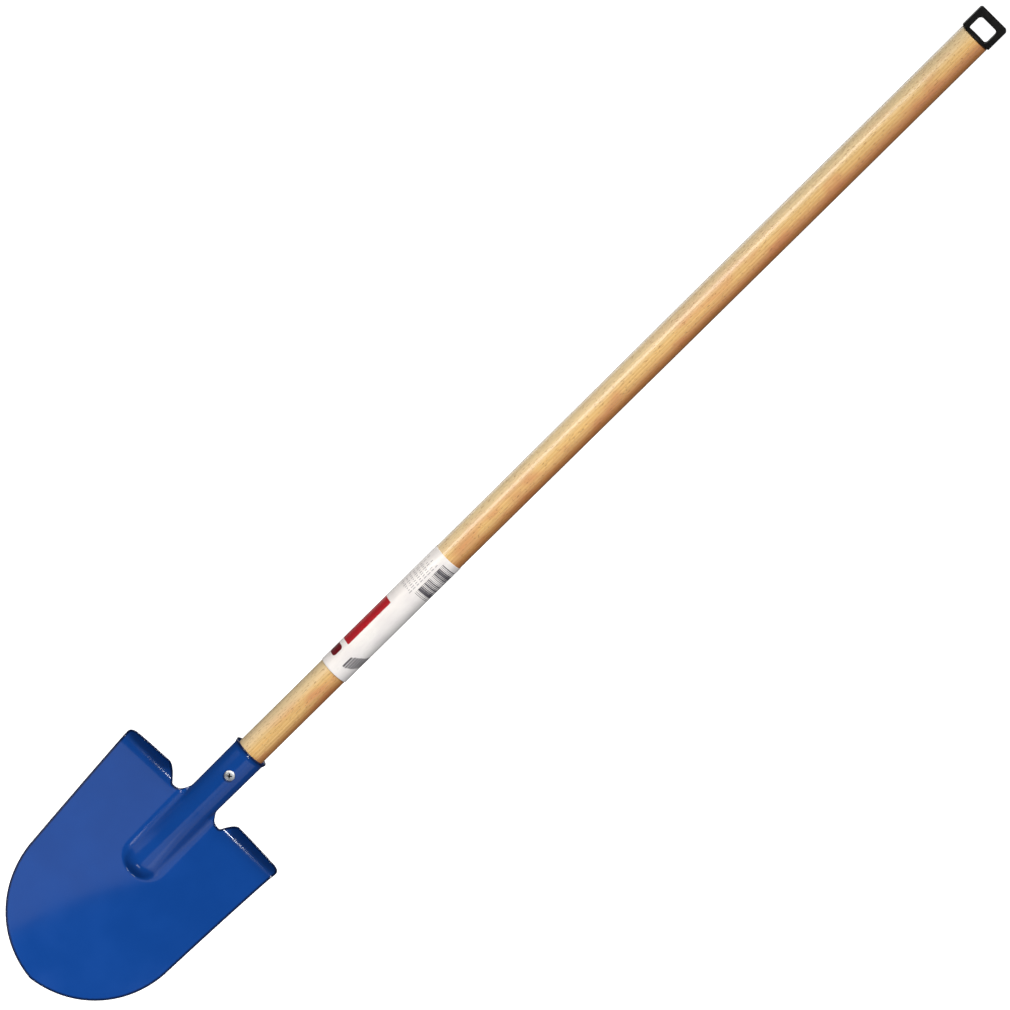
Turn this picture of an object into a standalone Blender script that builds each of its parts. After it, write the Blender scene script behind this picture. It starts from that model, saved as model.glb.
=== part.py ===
"""Long-handled round point shovel, built as its separate pieces.

Frame: metres. +Z runs up the handle's axis, -Y is the front (the dished side of the blade) and
+X is the right-hand side seen from the front. The origin is where a hook bears: the middle of the
flat face at the top of the hang loop's opening, on the handle's axis.
Heights named ..._HEIGHT are measured up from the blade's point and turned into Z by to_z().
"""
from math import acos, asin, atan2, ceil, cos, pi, radians, sin, sqrt

import bmesh
import bpy
from mathutils import Matrix, Vector
from mathutils.geometry import delaunay_2d_cdt

# Whole tool
OVERALL_LENGTH = 1.500
TOUCH_GAP = 0.0003
ROUNDING = 0.00001               # slack for comparing lengths
WELD = 0.000001                  # points nearer than this are one

# Blade: pressed steel sheet
SHEET = 0.0019
BLADE_ARC_RADIUS = 0.1168        # each side of the point is one arc
BLADE_ARC_OFFSET = 0.012         # how far past the middle that arc's centre lies
BLADE_ARC_END_HEIGHT = 0.104
BLADE_TOP_HALF_WIDTH = 0.1152
TREAD_OUTER_HEIGHT = 0.2790      # along the unbent sheet
TREAD_INNER_HEIGHT = 0.2838
TREAD_OUTER_CORNER = 0.012
TREAD_INNER_LEFT = 0.0585        # the left notch is cut wider than the right one
TREAD_INNER_RIGHT = 0.0488
TREAD_INNER_CORNER = 0.004
NOTCH_HEIGHT = 0.2562
NOTCH_OUTER_HALF_WIDTH = 0.0365
NOTCH_CORNER = 0.0032
LIFT_SLOPE = 0.0757              # lean of the blade's middle line at the notches
LIFT_CURVE = 0.718               # how it steepens towards the point, per metre
DISH_CURVE_TOP = 2.1             # side to side curvature, per metre, at the treads
DISH_CURVE_POINT = 4.2           # and at the point

# Tread: the top edge rolls forward
TREAD_BEND_HEIGHT = 0.2380
TREAD_BEND_LENGTH = 0.044
TREAD_TURN = radians(72.0)
TREAD_BLEND = 0.008              # width over which the roll fades in beside the frog

# Frog: the raised channel that carries the socket down into the blade
FROG_HALF_WIDTH = 0.0283
FROG_NOSE_HEIGHT = 0.1525        # where the channel dies out
FROG_NOSE_LENGTH = 0.024
FROG_FOOT_HEIGHT = 0.165
FROG_FOOT_RISE = 0.0095
FROG_CROWN_SHARE = 0.61          # crown radius over crown and fillet radius together

# Socket: the same sheet rolled round the handle, open along the back
SOCKET_RIM_HEIGHT = 0.3446
SOCKET_NECK_HEIGHT = 0.277
SOCKET_CLOSED_HEIGHT = 0.300
SOCKET_ROLL_EASE = 2.5           # how quickly the sheet curls in just above the notches
SOCKET_RIM_RADIUS = 0.0206       # outside radius just under the flare
SOCKET_NECK_RADIUS = 0.0201
SOCKET_FLARE = 0.0015
SOCKET_FLARE_LENGTH = 0.006
SOCKET_SEAM = 0.003
SOCKET_RIM_CORNER = 0.002

# Handle: turned wood
HANDLE_END_HEIGHT = 0.238
HANDLE_END_RADIUS = 0.0136
HANDLE_TAPER_HEIGHT = 0.274
HANDLE_TAPER_RADIUS = 0.0172
HANDLE_SOCKET_RADIUS = 0.0175
HANDLE_SOCKET_HEIGHT = 0.345
HANDLE_GRIP_RADIUS = 0.0185
HANDLE_GRIP_HEIGHT = 1.300
HANDLE_END_BEVEL = 0.0015
HANDLE_SIDES = 48

# Hang loop cap: moulded plastic
CAP_BASE_HEIGHT = 1.4705
CAP_BASE_THICKNESS = 0.0018
CAP_BASE_RADIUS = 0.0195
CAP_BASE_BEVEL = 0.0006
CAP_SIDES = 48
LOOP_WIDTH = 0.0390
LOOP_DEPTH = 0.0130
LOOP_OUTER_CORNER = 0.0030
LOOP_EDGE_BEVEL = 0.0009
OPENING_WIDTH = 0.0258
OPENING_TOP_HEIGHT = 1.4918
OPENING_CORNER = 0.0045
SPIGOT_LENGTH = 0.030
SPIGOT_CORE_RADIUS = 0.0050
SPIGOT_RIB_RADIUS = 0.0061
SPIGOT_RIBS = 4
SPIGOT_RIB_SHARE = 0.5           # of the pitch that a rib takes
SPIGOT_CREST_SHARE = 0.4         # of the pitch below its steep side
SPIGOT_TIP_RADIUS = 0.0040
SPIGOT_HOLE_RADIUS = 0.0065
SPIGOT_HOLE_DEPTH = 0.033

# Screw: cross-recess pan head, through the front of the socket into the wood
SCREW_HEIGHT = 0.3118
SCREW_HEAD_RADIUS = 0.0062
SCREW_HEAD_THICKNESS = 0.0026
SCREW_HEAD_SIDE = 0.00117        # height of the head's upright side
SCREW_HEAD_STEPS = 6
SCREW_SHANK_RADIUS = 0.0021
SCREW_LENGTH = 0.024
SCREW_POINT_LENGTH = 0.005
SCREW_HOLE_RADIUS = 0.0026
SCREW_HOLE_CUT = 0.012           # length of the bar that cuts it
SCREW_SIDES = 32
RECESS_SPAN = 0.0066
RECESS_WIDTH = 0.0015
RECESS_DEPTH = 0.0019

# Label: plastic film wrapped round the handle
LABEL_LOW_HEIGHT = 0.475
LABEL_HIGH_HEIGHT = 0.656
LABEL_FILM = 0.0003
LABEL_SIDES = 48

# Mesh spacing on the blade
OUTLINE_STEP = 0.008
WING_STEP = 0.0088
FROG_COLUMNS = 20
FROG_ROW_STEP = 0.0068
TREAD_ROW_STEP = 0.005
OUTLINE_CLEARANCE = 0.0028
STRAP_CLEARANCE = 0.0014
CORNER_SEGMENTS = 5
BEND_STEPS = 16


def to_z(height):
    """Z of a height above the blade's point."""
    return height - OPENING_TOP_HEIGHT


def smooth(share):
    """Ease from 0 to 1 with level ends."""
    share = min(1.0, max(0.0, share))
    return share * share * (3.0 - 2.0 * share)


def between(low, high, share):
    """Straight mix of two values."""
    return low + (high - low) * share


# ---------------------------------------------------------------- blade surface

def arc_half_width(height):
    """Half the blade's width at a height within its round end."""
    centre_height = sqrt(BLADE_ARC_RADIUS ** 2 - BLADE_ARC_OFFSET ** 2)
    return sqrt(BLADE_ARC_RADIUS ** 2 - (centre_height - height) ** 2) - BLADE_ARC_OFFSET


def wing_forward(across, height):
    """How far in front of the handle's axis the dished sheet lies."""
    below = NOTCH_HEIGHT - height
    middle = LIFT_SLOPE * below + LIFT_CURVE * max(0.0, below) ** 2
    curve = between(DISH_CURVE_POINT, DISH_CURVE_TOP, height / NOTCH_HEIGHT)
    return middle + 0.5 * curve * across * across


def socket_radius(height):
    """Middle radius of the rolled socket's sheet."""
    share = (height - SOCKET_NECK_HEIGHT) / (SOCKET_RIM_HEIGHT - SOCKET_NECK_HEIGHT)
    plain = between(SOCKET_NECK_RADIUS, SOCKET_RIM_RADIUS, min(1.0, max(0.0, share)))
    flare = smooth((height - SOCKET_RIM_HEIGHT + SOCKET_FLARE_LENGTH) / SOCKET_FLARE_LENGTH)
    return plain + SOCKET_FLARE * flare - 0.5 * SHEET


def frog_size(height):
    """Half width and rise of the frog at a height below the notches."""
    depth = (FROG_NOSE_HEIGHT + FROG_NOSE_LENGTH - height) / FROG_NOSE_LENGTH
    depth = min(1.0, max(0.0, depth))
    width_share = sqrt(1.0 - depth * depth)
    top_rise = socket_radius(NOTCH_HEIGHT) - wing_forward(FROG_HALF_WIDTH, NOTCH_HEIGHT)
    share = (height - FROG_FOOT_HEIGHT) / (NOTCH_HEIGHT - FROG_FOOT_HEIGHT)
    rise = between(FROG_FOOT_RISE, top_rise, max(0.0, share)) * smooth(1.0 - depth * depth)
    return FROG_HALF_WIDTH * width_share, rise


def hat_section(share, half_width, rise):
    """Point on a round crown that runs out through a fillet, as (across, drop from the crown)."""
    turn = 2.0 * atan2(rise, half_width)
    radii = half_width / sin(turn)
    crown = FROG_CROWN_SHARE * radii
    fillet = radii - crown
    length = share * turn * radii
    if length <= crown * turn:
        angle = length / crown
        return crown * sin(angle), crown * (1.0 - cos(angle))
    angle = turn - (length - crown * turn) / fillet
    return half_width - fillet * sin(angle), rise - fillet * (1.0 - cos(angle))


def hat_length(half_width, rise):
    """Sheet length of half the hat section."""
    turn = 2.0 * atan2(rise, half_width)
    return turn * half_width / sin(turn)


def strap_point(across, height):
    """(across, forward) of the strap above the notches, as it rolls from frog into socket."""
    share = min(1.0, across / FROG_HALF_WIDTH)
    radius = socket_radius(height)
    half_width, rise = frog_size(NOTCH_HEIGHT)
    hat_across, hat_drop = hat_section(share, half_width, rise)
    closing = smooth((height - NOTCH_HEIGHT) / (SOCKET_CLOSED_HEIGHT - NOTCH_HEIGHT))
    wrap = between(hat_length(half_width, rise), pi * radius - 0.5 * SOCKET_SEAM, closing)
    angle = share * wrap / radius
    to_neck = max(0.0, (SOCKET_NECK_HEIGHT - height) / (SOCKET_NECK_HEIGHT - NOTCH_HEIGHT))
    rolled = 1.0 - to_neck ** SOCKET_ROLL_EASE
    reach = between(hat_across, radius * sin(angle), rolled)
    drop = between(hat_drop, radius * (1.0 - cos(angle)), rolled)
    return reach, radius - drop


def tread_bend(length):
    """(rise, forward) after a length of sheet past the start of the tread's roll."""
    rise = 0.0
    forward = 0.0
    step = length / BEND_STEPS
    for index in range(BEND_STEPS):
        turn = TREAD_TURN * ((index + 0.5) * step / TREAD_BEND_LENGTH) ** 2
        rise += step * cos(turn)
        forward += step * sin(turn)
    return rise, forward


def pressed_point(across, height):
    """Place of a point of the flat blank on the pressed sheet's middle surface."""
    side = -1.0 if across < 0.0 else 1.0
    reach = abs(across)
    if height > NOTCH_HEIGHT and reach < FROG_HALF_WIDTH + ROUNDING:
        reach, forward = strap_point(reach, height)
        return Vector((side * reach, -forward, to_z(height)))
    half_width, rise = frog_size(min(height, NOTCH_HEIGHT))
    if reach < half_width and rise > 0.0:
        base = wing_forward(half_width, height)
        reach, drop = hat_section(reach / half_width, half_width, rise)
        return Vector((side * reach, -(base + rise - drop), to_z(height)))
    lift = 0.0
    if height > TREAD_BEND_HEIGHT:
        length = height - TREAD_BEND_HEIGHT
        bend_rise, bend_forward = tread_bend(length)
        fade = smooth((reach - FROG_HALF_WIDTH) / TREAD_BLEND)
        height = TREAD_BEND_HEIGHT + between(length, bend_rise, fade)
        lift = bend_forward * fade
    return Vector((side * reach, -(wing_forward(reach, height) + lift), to_z(height)))


# ---------------------------------------------------------------- blade blank

def spaced_line(start, end, step):
    """Points from start up to but not including end, no further apart than step."""
    count = max(1, ceil((end - start).length / step))
    return [start.lerp(end, index / count) for index in range(count)]


def rounded_corner(before, corner, after, radius):
    """Points of an arc that rounds one corner of an outline."""
    to_before = (before - corner).normalized()
    to_after = (after - corner).normalized()
    half_angle = 0.5 * to_before.angle(to_after)
    centre = corner + (to_before + to_after).normalized() * (radius / sin(half_angle))
    start = corner + to_before * (radius * cos(half_angle) / sin(half_angle)) - centre
    end = corner + to_after * (radius * cos(half_angle) / sin(half_angle)) - centre
    points = []
    for index in range(CORNER_SEGMENTS + 1):
        spoke = start.lerp(end, index / CORNER_SEGMENTS).normalized() * radius
        points.append(centre + spoke)
    return points


def half_outline(tread_inner):
    """Right half of the blank, from the point up to the socket's rim, as (across, height)."""
    points = []
    arc_steps = ceil(BLADE_ARC_RADIUS * 0.5 * pi / OUTLINE_STEP)
    centre_height = sqrt(BLADE_ARC_RADIUS ** 2 - BLADE_ARC_OFFSET ** 2)
    first = asin(BLADE_ARC_OFFSET / BLADE_ARC_RADIUS)
    last = acos((centre_height - BLADE_ARC_END_HEIGHT) / BLADE_ARC_RADIUS)
    for index in range(arc_steps):
        angle = between(first, last, index / arc_steps)
        points.append(Vector((BLADE_ARC_RADIUS * sin(angle) - BLADE_ARC_OFFSET,
                              centre_height - BLADE_ARC_RADIUS * cos(angle))))
    corners = [
        (Vector((arc_half_width(BLADE_ARC_END_HEIGHT), BLADE_ARC_END_HEIGHT)), 0.0),
        (Vector((BLADE_TOP_HALF_WIDTH, TREAD_OUTER_HEIGHT)), TREAD_OUTER_CORNER),
        (Vector((tread_inner, TREAD_INNER_HEIGHT)), TREAD_INNER_CORNER),
        (Vector((NOTCH_OUTER_HALF_WIDTH, NOTCH_HEIGHT)), NOTCH_CORNER),
        (Vector((FROG_HALF_WIDTH, NOTCH_HEIGHT)), NOTCH_CORNER),
        (Vector((FROG_HALF_WIDTH, SOCKET_RIM_HEIGHT)), SOCKET_RIM_CORNER),
        (Vector((0.0, SOCKET_RIM_HEIGHT)), 0.0),
    ]
    run_start = corners[0][0]
    for index in range(1, len(corners) - 1):
        corner, radius = corners[index]
        arc = rounded_corner(corners[index - 1][0], corner, corners[index + 1][0], radius)
        points += spaced_line(run_start, arc[0], OUTLINE_STEP)
        points += arc[:-1]
        run_start = arc[-1]
    rim_step = FROG_HALF_WIDTH / FROG_COLUMNS
    points += spaced_line(run_start, corners[-1][0], 2.0 * rim_step)
    points.append(corners[-1][0])
    return points


def full_outline():
    """The whole blank's outline, anticlockwise seen from the front."""
    right = half_outline(TREAD_INNER_RIGHT)
    left = [Vector((-point.x, point.y)) for point in reversed(half_outline(TREAD_INNER_LEFT)[1:-1])]
    return right + left


def inside(point, outline):
    """True when a point lies in the outline, clear of its edge."""
    crossings = 0
    clearance = STRAP_CLEARANCE if abs(point.x) < FROG_HALF_WIDTH else OUTLINE_CLEARANCE
    for index, start in enumerate(outline):
        end = outline[(index + 1) % len(outline)]
        edge = end - start
        share = min(1.0, max(0.0, (point - start).dot(edge) / edge.length_squared))
        if (start + edge * share - point).length < clearance:
            return False
        if (start.y > point.y) != (end.y > point.y):
            if point.x < start.x + edge.x * (point.y - start.y) / edge.y:
                crossings += 1
    return crossings % 2 == 1


def grid_points():
    """Inner points of the blank: fine over the frog, socket and treads, wider on the wings."""
    points = []
    frog_step = FROG_HALF_WIDTH / FROG_COLUMNS
    rows = ceil((SOCKET_RIM_HEIGHT - FROG_NOSE_HEIGHT) / FROG_ROW_STEP)
    for row in range(rows):
        height = FROG_NOSE_HEIGHT + row * FROG_ROW_STEP
        for column in range(-FROG_COLUMNS, FROG_COLUMNS + 1, 2):
            points.append(Vector((column * frog_step, height)))
    wing_columns = ceil(BLADE_TOP_HALF_WIDTH / WING_STEP)
    wing_top = FROG_NOSE_HEIGHT - 0.5 * WING_STEP
    beside_frog = FROG_HALF_WIDTH + 0.5 * OUTLINE_CLEARANCE
    height = OUTLINE_STEP
    while height < TREAD_INNER_HEIGHT:
        for column in range(-wing_columns, wing_columns + 1):
            across = column * WING_STEP
            if height < wing_top or abs(across) > beside_frog:
                points.append(Vector((across, height)))
        height += TREAD_ROW_STEP if height > TREAD_BEND_HEIGHT - WING_STEP else WING_STEP
    return points


def make_blade(material):
    """Press the flat blank into the blade, with its frog, socket and rolled treads."""
    outline = full_outline()
    points = outline + [point for point in grid_points() if inside(point, outline)]
    edges = [(index, (index + 1) % len(outline)) for index in range(len(outline))]
    flat, _, faces, _, _, _ = delaunay_2d_cdt(points, edges, [], 1, WELD)
    mesh = bpy.data.meshes.new("blade")
    mesh.from_pydata([pressed_point(point.x, point.y) for point in flat], [], faces)
    blade = add_object("blade", mesh, material)
    thicken = blade.modifiers.new("sheet thickness", "SOLIDIFY")
    thicken.thickness = SHEET
    thicken.offset = 0.0
    thicken.use_even_offset = True
    hole = round_bar("screw hole cutter", SCREW_HOLE_RADIUS, SCREW_HOLE_CUT)
    hole.matrix_world = Matrix.Translation((0.0, -SOCKET_RIM_RADIUS, to_z(SCREW_HEIGHT))) @ facing_front()
    cut(blade, hole)
    return blade


# ---------------------------------------------------------------- shared tools

def facing_front():
    """Turn a +Z axis to face the front, -Y."""
    return Matrix.Rotation(radians(90.0), 4, "X")


def add_object(name, mesh, material):
    """Put a mesh in the scene with its material and smooth shading."""
    if material:
        mesh.materials.append(material)
    mesh.shade_smooth()
    item = bpy.data.objects.new(name, mesh)
    bpy.context.scene.collection.objects.link(item)
    return item


def make_material(name, colour, roughness, metallic=0.0):
    """A plain Principled material."""
    material = bpy.data.materials.new(name)
    material.use_nodes = True
    shader = material.node_tree.nodes["Principled BSDF"]
    shader.inputs["Base Color"].default_value = (*colour, 1.0)
    shader.inputs["Roughness"].default_value = roughness
    shader.inputs["Metallic"].default_value = metallic
    return material


def turned(name, profile, sides, material=None):
    """Turn a profile of (radius, z) points, top to bottom down the outside, round Z."""
    shape = bmesh.new()
    rings = []
    for radius, z in profile:
        if radius < WELD:
            rings.append([shape.verts.new((0.0, 0.0, z))])
            continue
        ring = []
        for side in range(sides):
            angle = 2.0 * pi * side / sides
            ring.append(shape.verts.new((radius * cos(angle), radius * sin(angle), z)))
        rings.append(ring)
    for upper, lower in zip(rings, rings[1:]):
        for side in range(sides):
            following = (side + 1) % sides
            corners = [upper[side % len(upper)], lower[side % len(lower)],
                       lower[following % len(lower)], upper[following % len(upper)]]
            unique = list(dict.fromkeys(corners))
            if len(unique) > 2:
                shape.faces.new(unique)
    mesh = bpy.data.meshes.new(name)
    shape.to_mesh(mesh)
    shape.free()
    return add_object(name, mesh, material)


def round_bar(name, radius, length, sides=24):
    """A plain cylinder centred on the origin along Z."""
    return turned(name, [(0.0, 0.5 * length), (radius, 0.5 * length), (radius, -0.5 * length),
                         (0.0, -0.5 * length)], sides)


def combine(item, other, operation):
    """Add or cut one object with another, which stays as a hidden guide."""
    tool = item.modifiers.new(other.name, "BOOLEAN")
    tool.operation = operation
    tool.object = other
    tool.solver = "EXACT"
    other.hide_render = True
    other.display_type = "WIRE"


def cut(item, cutter):
    """Cut one object with another."""
    combine(item, cutter, "DIFFERENCE")


# ---------------------------------------------------------------- handle

def handle_radius(height):
    """Radius of the turned handle at a height."""
    if height <= HANDLE_SOCKET_HEIGHT:
        share = (height - HANDLE_TAPER_HEIGHT) / (HANDLE_SOCKET_HEIGHT - HANDLE_TAPER_HEIGHT)
        return between(HANDLE_TAPER_RADIUS, HANDLE_SOCKET_RADIUS, share)
    share = (height - HANDLE_SOCKET_HEIGHT) / (HANDLE_GRIP_HEIGHT - HANDLE_SOCKET_HEIGHT)
    return between(HANDLE_SOCKET_RADIUS, HANDLE_GRIP_RADIUS, smooth(share))


def make_handle(material):
    """Tapered wooden handle, bored at the top for the cap and at the front for the screw."""
    top = CAP_BASE_HEIGHT - TOUCH_GAP
    floor = top - SPIGOT_HOLE_DEPTH
    heights = [HANDLE_TAPER_HEIGHT, HANDLE_SOCKET_HEIGHT]
    while heights[-1] < HANDLE_GRIP_HEIGHT:
        heights.append(min(HANDLE_GRIP_HEIGHT, heights[-1] + 0.1))
    profile = [
        (0.0, floor),
        (SPIGOT_HOLE_RADIUS, floor),
        (SPIGOT_HOLE_RADIUS, top),
        (HANDLE_GRIP_RADIUS - HANDLE_END_BEVEL, top),
        (HANDLE_GRIP_RADIUS, top - HANDLE_END_BEVEL),
    ]
    profile += [(handle_radius(height), height) for height in reversed(heights)]
    profile += [
        (HANDLE_END_RADIUS, HANDLE_END_HEIGHT + HANDLE_END_BEVEL),
        (HANDLE_END_RADIUS - HANDLE_END_BEVEL, HANDLE_END_HEIGHT),
        (0.0, HANDLE_END_HEIGHT),
    ]
    handle = turned("handle", [(radius, to_z(height)) for radius, height in profile],
                    HANDLE_SIDES, material)
    depth = SCREW_LENGTH + 2.0 * TOUCH_GAP
    pilot = round_bar("pilot hole cutter", SCREW_SHANK_RADIUS + TOUCH_GAP, 2.0 * depth)
    front = -SOCKET_RIM_RADIUS
    pilot.matrix_world = Matrix.Translation((0.0, front, to_z(SCREW_HEIGHT))) @ facing_front()
    cut(handle, pilot)
    return handle


# ---------------------------------------------------------------- screw

def make_screw(material):
    """Pan head wood screw with a cross recess, its head against the front of the socket."""
    seat = socket_radius(SCREW_HEIGHT) + 0.5 * SHEET + TOUCH_GAP
    rise = SCREW_HEAD_THICKNESS - SCREW_HEAD_SIDE
    angles = [0.5 * pi * step / SCREW_HEAD_STEPS for step in range(SCREW_HEAD_STEPS + 1)]
    head_arc = [(SCREW_HEAD_RADIUS * sin(angle), SCREW_HEAD_SIDE + rise * cos(angle)) for angle in angles]
    profile = [(0.0, SCREW_HEAD_THICKNESS)] + head_arc[1:] + [
        (SCREW_HEAD_RADIUS, 0.0),
        (SCREW_SHANK_RADIUS, 0.0),
        (SCREW_SHANK_RADIUS, SCREW_POINT_LENGTH - SCREW_LENGTH),
        (0.0, -SCREW_LENGTH),
    ]
    screw = turned("socket_screw", profile, SCREW_SIDES, material)
    place = Matrix.Translation((0.0, -seat, to_z(SCREW_HEIGHT))) @ facing_front()
    screw.matrix_world = place
    shape = bmesh.new()
    for turn in (0.0, 90.0):
        size = Matrix.Diagonal((RECESS_SPAN, RECESS_WIDTH, 2.0 * RECESS_DEPTH, 1.0))
        spin = Matrix.Rotation(radians(turn), 4, "Z")
        lift = Matrix.Translation((0.0, 0.0, SCREW_HEAD_THICKNESS))
        bmesh.ops.create_cube(shape, size=1.0, matrix=lift @ spin @ size)
    mesh = bpy.data.meshes.new("cross recess cutter")
    shape.to_mesh(mesh)
    shape.free()
    recess = add_object("cross recess cutter", mesh, None)
    recess.matrix_world = place
    cut(screw, recess)
    screw.modifiers[-1].use_self = True
    return screw


# ---------------------------------------------------------------- hang loop cap

def rounded_rectangle(left, right, low, high, radii):
    """Anticlockwise (x, z) outline, with a radius for each corner from the lower left on."""
    corners = [Vector((left, low)), Vector((right, low)), Vector((right, high)), Vector((left, high))]
    points = []
    for index, corner in enumerate(corners):
        if radii[index] == 0.0:
            points.append(corner)
            continue
        before = corners[index - 1]
        after = corners[(index + 1) % 4]
        points += rounded_corner(before, corner, after, radii[index])
    return points


def make_cap(material):
    """Round base with a barbed spigot below and the hang loop above."""
    base = to_z(CAP_BASE_HEIGHT)
    base_top = base + CAP_BASE_THICKNESS
    profile = [
        (0.0, base_top),
        (CAP_BASE_RADIUS - CAP_BASE_BEVEL, base_top),
        (CAP_BASE_RADIUS, base_top - CAP_BASE_BEVEL),
        (CAP_BASE_RADIUS, base),
        (SPIGOT_CORE_RADIUS, base),
    ]
    pitch = SPIGOT_LENGTH / (SPIGOT_RIBS + 1)
    for rib in range(1, SPIGOT_RIBS + 1):
        z = base - rib * pitch
        profile += [(SPIGOT_CORE_RADIUS, z + SPIGOT_RIB_SHARE * pitch),
                    (SPIGOT_RIB_RADIUS, z + SPIGOT_CREST_SHARE * pitch),
                    (SPIGOT_CORE_RADIUS, z)]
    profile += [(SPIGOT_TIP_RADIUS, base - SPIGOT_LENGTH), (0.0, base - SPIGOT_LENGTH)]
    plug = turned("cap base and spigot guide", profile, CAP_SIDES)

    outer = rounded_rectangle(-0.5 * LOOP_WIDTH, 0.5 * LOOP_WIDTH, base, to_z(OVERALL_LENGTH),
                              (0.0, 0.0, LOOP_OUTER_CORNER, LOOP_OUTER_CORNER))
    opening = rounded_rectangle(-0.5 * OPENING_WIDTH, 0.5 * OPENING_WIDTH, base_top, 0.0,
                                (OPENING_CORNER,) * 4)
    shape = bmesh.new()
    loops = []
    for outline in (outer, opening):
        verts = [shape.verts.new((x, -0.5 * LOOP_DEPTH, z)) for x, z in outline]
        loops.append([shape.edges.new((vert, verts[(index + 1) % len(verts)]))
                      for index, vert in enumerate(verts)])
    bmesh.ops.triangle_fill(shape, edges=loops[0] + loops[1], use_beauty=True)
    grown = bmesh.ops.extrude_face_region(shape, geom=shape.faces[:])["geom"]
    moved = [item for item in grown if isinstance(item, bmesh.types.BMVert)]
    bmesh.ops.translate(shape, verts=moved, vec=(0.0, LOOP_DEPTH, 0.0))
    bmesh.ops.recalc_face_normals(shape, faces=shape.faces[:])
    mesh = bpy.data.meshes.new("hang_loop_cap")
    shape.to_mesh(mesh)
    shape.free()
    cap = add_object("hang_loop_cap", mesh, material)
    soften = cap.modifiers.new("moulded edges", "BEVEL")
    soften.width = LOOP_EDGE_BEVEL
    soften.segments = 2
    soften.limit_method = "ANGLE"
    soften.angle_limit = radians(60.0)
    combine(cap, plug, "UNION")
    return cap


# ---------------------------------------------------------------- label

def make_label(material):
    """Plastic film sleeve that follows the handle's taper."""
    inner = [(handle_radius(height) + TOUCH_GAP, to_z(height))
             for height in (LABEL_LOW_HEIGHT, LABEL_HIGH_HEIGHT)]
    outer = [(radius + LABEL_FILM, z) for radius, z in reversed(inner)]
    profile = inner + outer + inner[:1]
    label = turned("handle_label", profile, LABEL_SIDES, material)
    shape = bmesh.new()
    shape.from_mesh(label.data)
    bmesh.ops.remove_doubles(shape, verts=shape.verts[:], dist=WELD)
    shape.to_mesh(label.data)
    shape.free()
    return label


def main():
    """Clear the scene and build every piece."""
    for item in list(bpy.data.objects):
        bpy.data.objects.remove(item)
    make_blade(make_material("blue enamelled steel", (0.012, 0.065, 0.28), 0.35))
    make_handle(make_material("lacquered hardwood", (0.72, 0.42, 0.16), 0.35))
    make_screw(make_material("zinc plated steel", (0.75, 0.76, 0.78), 0.3, 1.0))
    make_cap(make_material("black polypropylene", (0.01, 0.01, 0.011), 0.45))
    make_label(make_material("white label film", (0.85, 0.84, 0.82), 0.35))


main()
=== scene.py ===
"""Looks of a long-handled round point shovel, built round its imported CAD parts.

Frame: metres, +Z up the handle's axis, -Y the dished front of the blade, +X the right-hand side seen
from the front, origin at the middle of the top of the hang loop's opening. Sizes are in metres.
Heights are measured up from the blade's point, unless a name says otherwise.
"""
import logging
from dataclasses import dataclass
from enum import Enum
from math import acos, asin, atan2, ceil, cos, hypot, pi, radians, sin, sqrt
from typing import Any, Iterable, Sequence

import bmesh
import bpy
from mathutils import Matrix, Vector
from mathutils.geometry import delaunay_2d_cdt
from mathutils.kdtree import KDTree


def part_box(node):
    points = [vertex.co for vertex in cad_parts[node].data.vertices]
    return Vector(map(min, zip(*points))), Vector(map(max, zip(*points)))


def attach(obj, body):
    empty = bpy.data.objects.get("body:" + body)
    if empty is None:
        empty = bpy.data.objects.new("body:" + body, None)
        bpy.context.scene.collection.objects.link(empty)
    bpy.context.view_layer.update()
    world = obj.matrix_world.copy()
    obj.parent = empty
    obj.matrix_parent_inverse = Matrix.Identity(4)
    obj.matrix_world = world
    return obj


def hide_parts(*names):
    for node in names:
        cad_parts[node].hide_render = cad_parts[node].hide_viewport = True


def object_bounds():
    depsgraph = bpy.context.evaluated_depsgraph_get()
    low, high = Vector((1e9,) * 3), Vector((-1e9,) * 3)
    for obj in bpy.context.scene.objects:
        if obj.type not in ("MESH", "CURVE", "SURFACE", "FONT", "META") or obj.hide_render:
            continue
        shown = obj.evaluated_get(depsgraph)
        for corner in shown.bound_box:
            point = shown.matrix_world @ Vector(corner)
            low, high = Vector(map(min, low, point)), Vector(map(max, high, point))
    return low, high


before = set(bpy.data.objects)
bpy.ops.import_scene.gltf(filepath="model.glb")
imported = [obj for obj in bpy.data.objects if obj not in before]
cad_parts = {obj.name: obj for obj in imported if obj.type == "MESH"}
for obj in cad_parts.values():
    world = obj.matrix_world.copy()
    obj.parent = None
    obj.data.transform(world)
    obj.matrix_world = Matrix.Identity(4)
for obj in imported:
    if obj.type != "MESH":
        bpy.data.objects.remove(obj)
CAD_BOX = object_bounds()
LOG = logging.getLogger("shovel")
MM = 0.001
FLAT_TOLERANCE = 1e-7      # closer than this, two points of a flat outline are one
WELD = 2e-6                # closer than this, two points of a turned shape are one
FILL_INSIDE = 1            # Blender's code for a fill that keeps only what the outlines hold


class Slot(Enum):
    """The record's material slots."""

    BLADE = "blade_enamel"
    HANDLE = "handle_wood"
    SCREW = "screw_zinc"
    CAP = "cap_plastic"
    LABEL = "label_film"


# ---------------------------------------------------------------- small tools

def linear(hex_colour: str) -> tuple[float, float, float, float]:
    """Turn an sRGB hex colour into a linear one.

    Args:
        hex_colour: six hex digits, such as "1A4894".

    Returns:
        Linear red, green, blue and an alpha of 1.
    """
    channels = []
    for start in (0, 2, 4):
        value = int(hex_colour[start:start + 2], 16) / 255.0
        channels.append(value / 12.92 if value <= 0.04045 else ((value + 0.055) / 1.055) ** 2.4)
    return channels[0], channels[1], channels[2], 1.0


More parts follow.
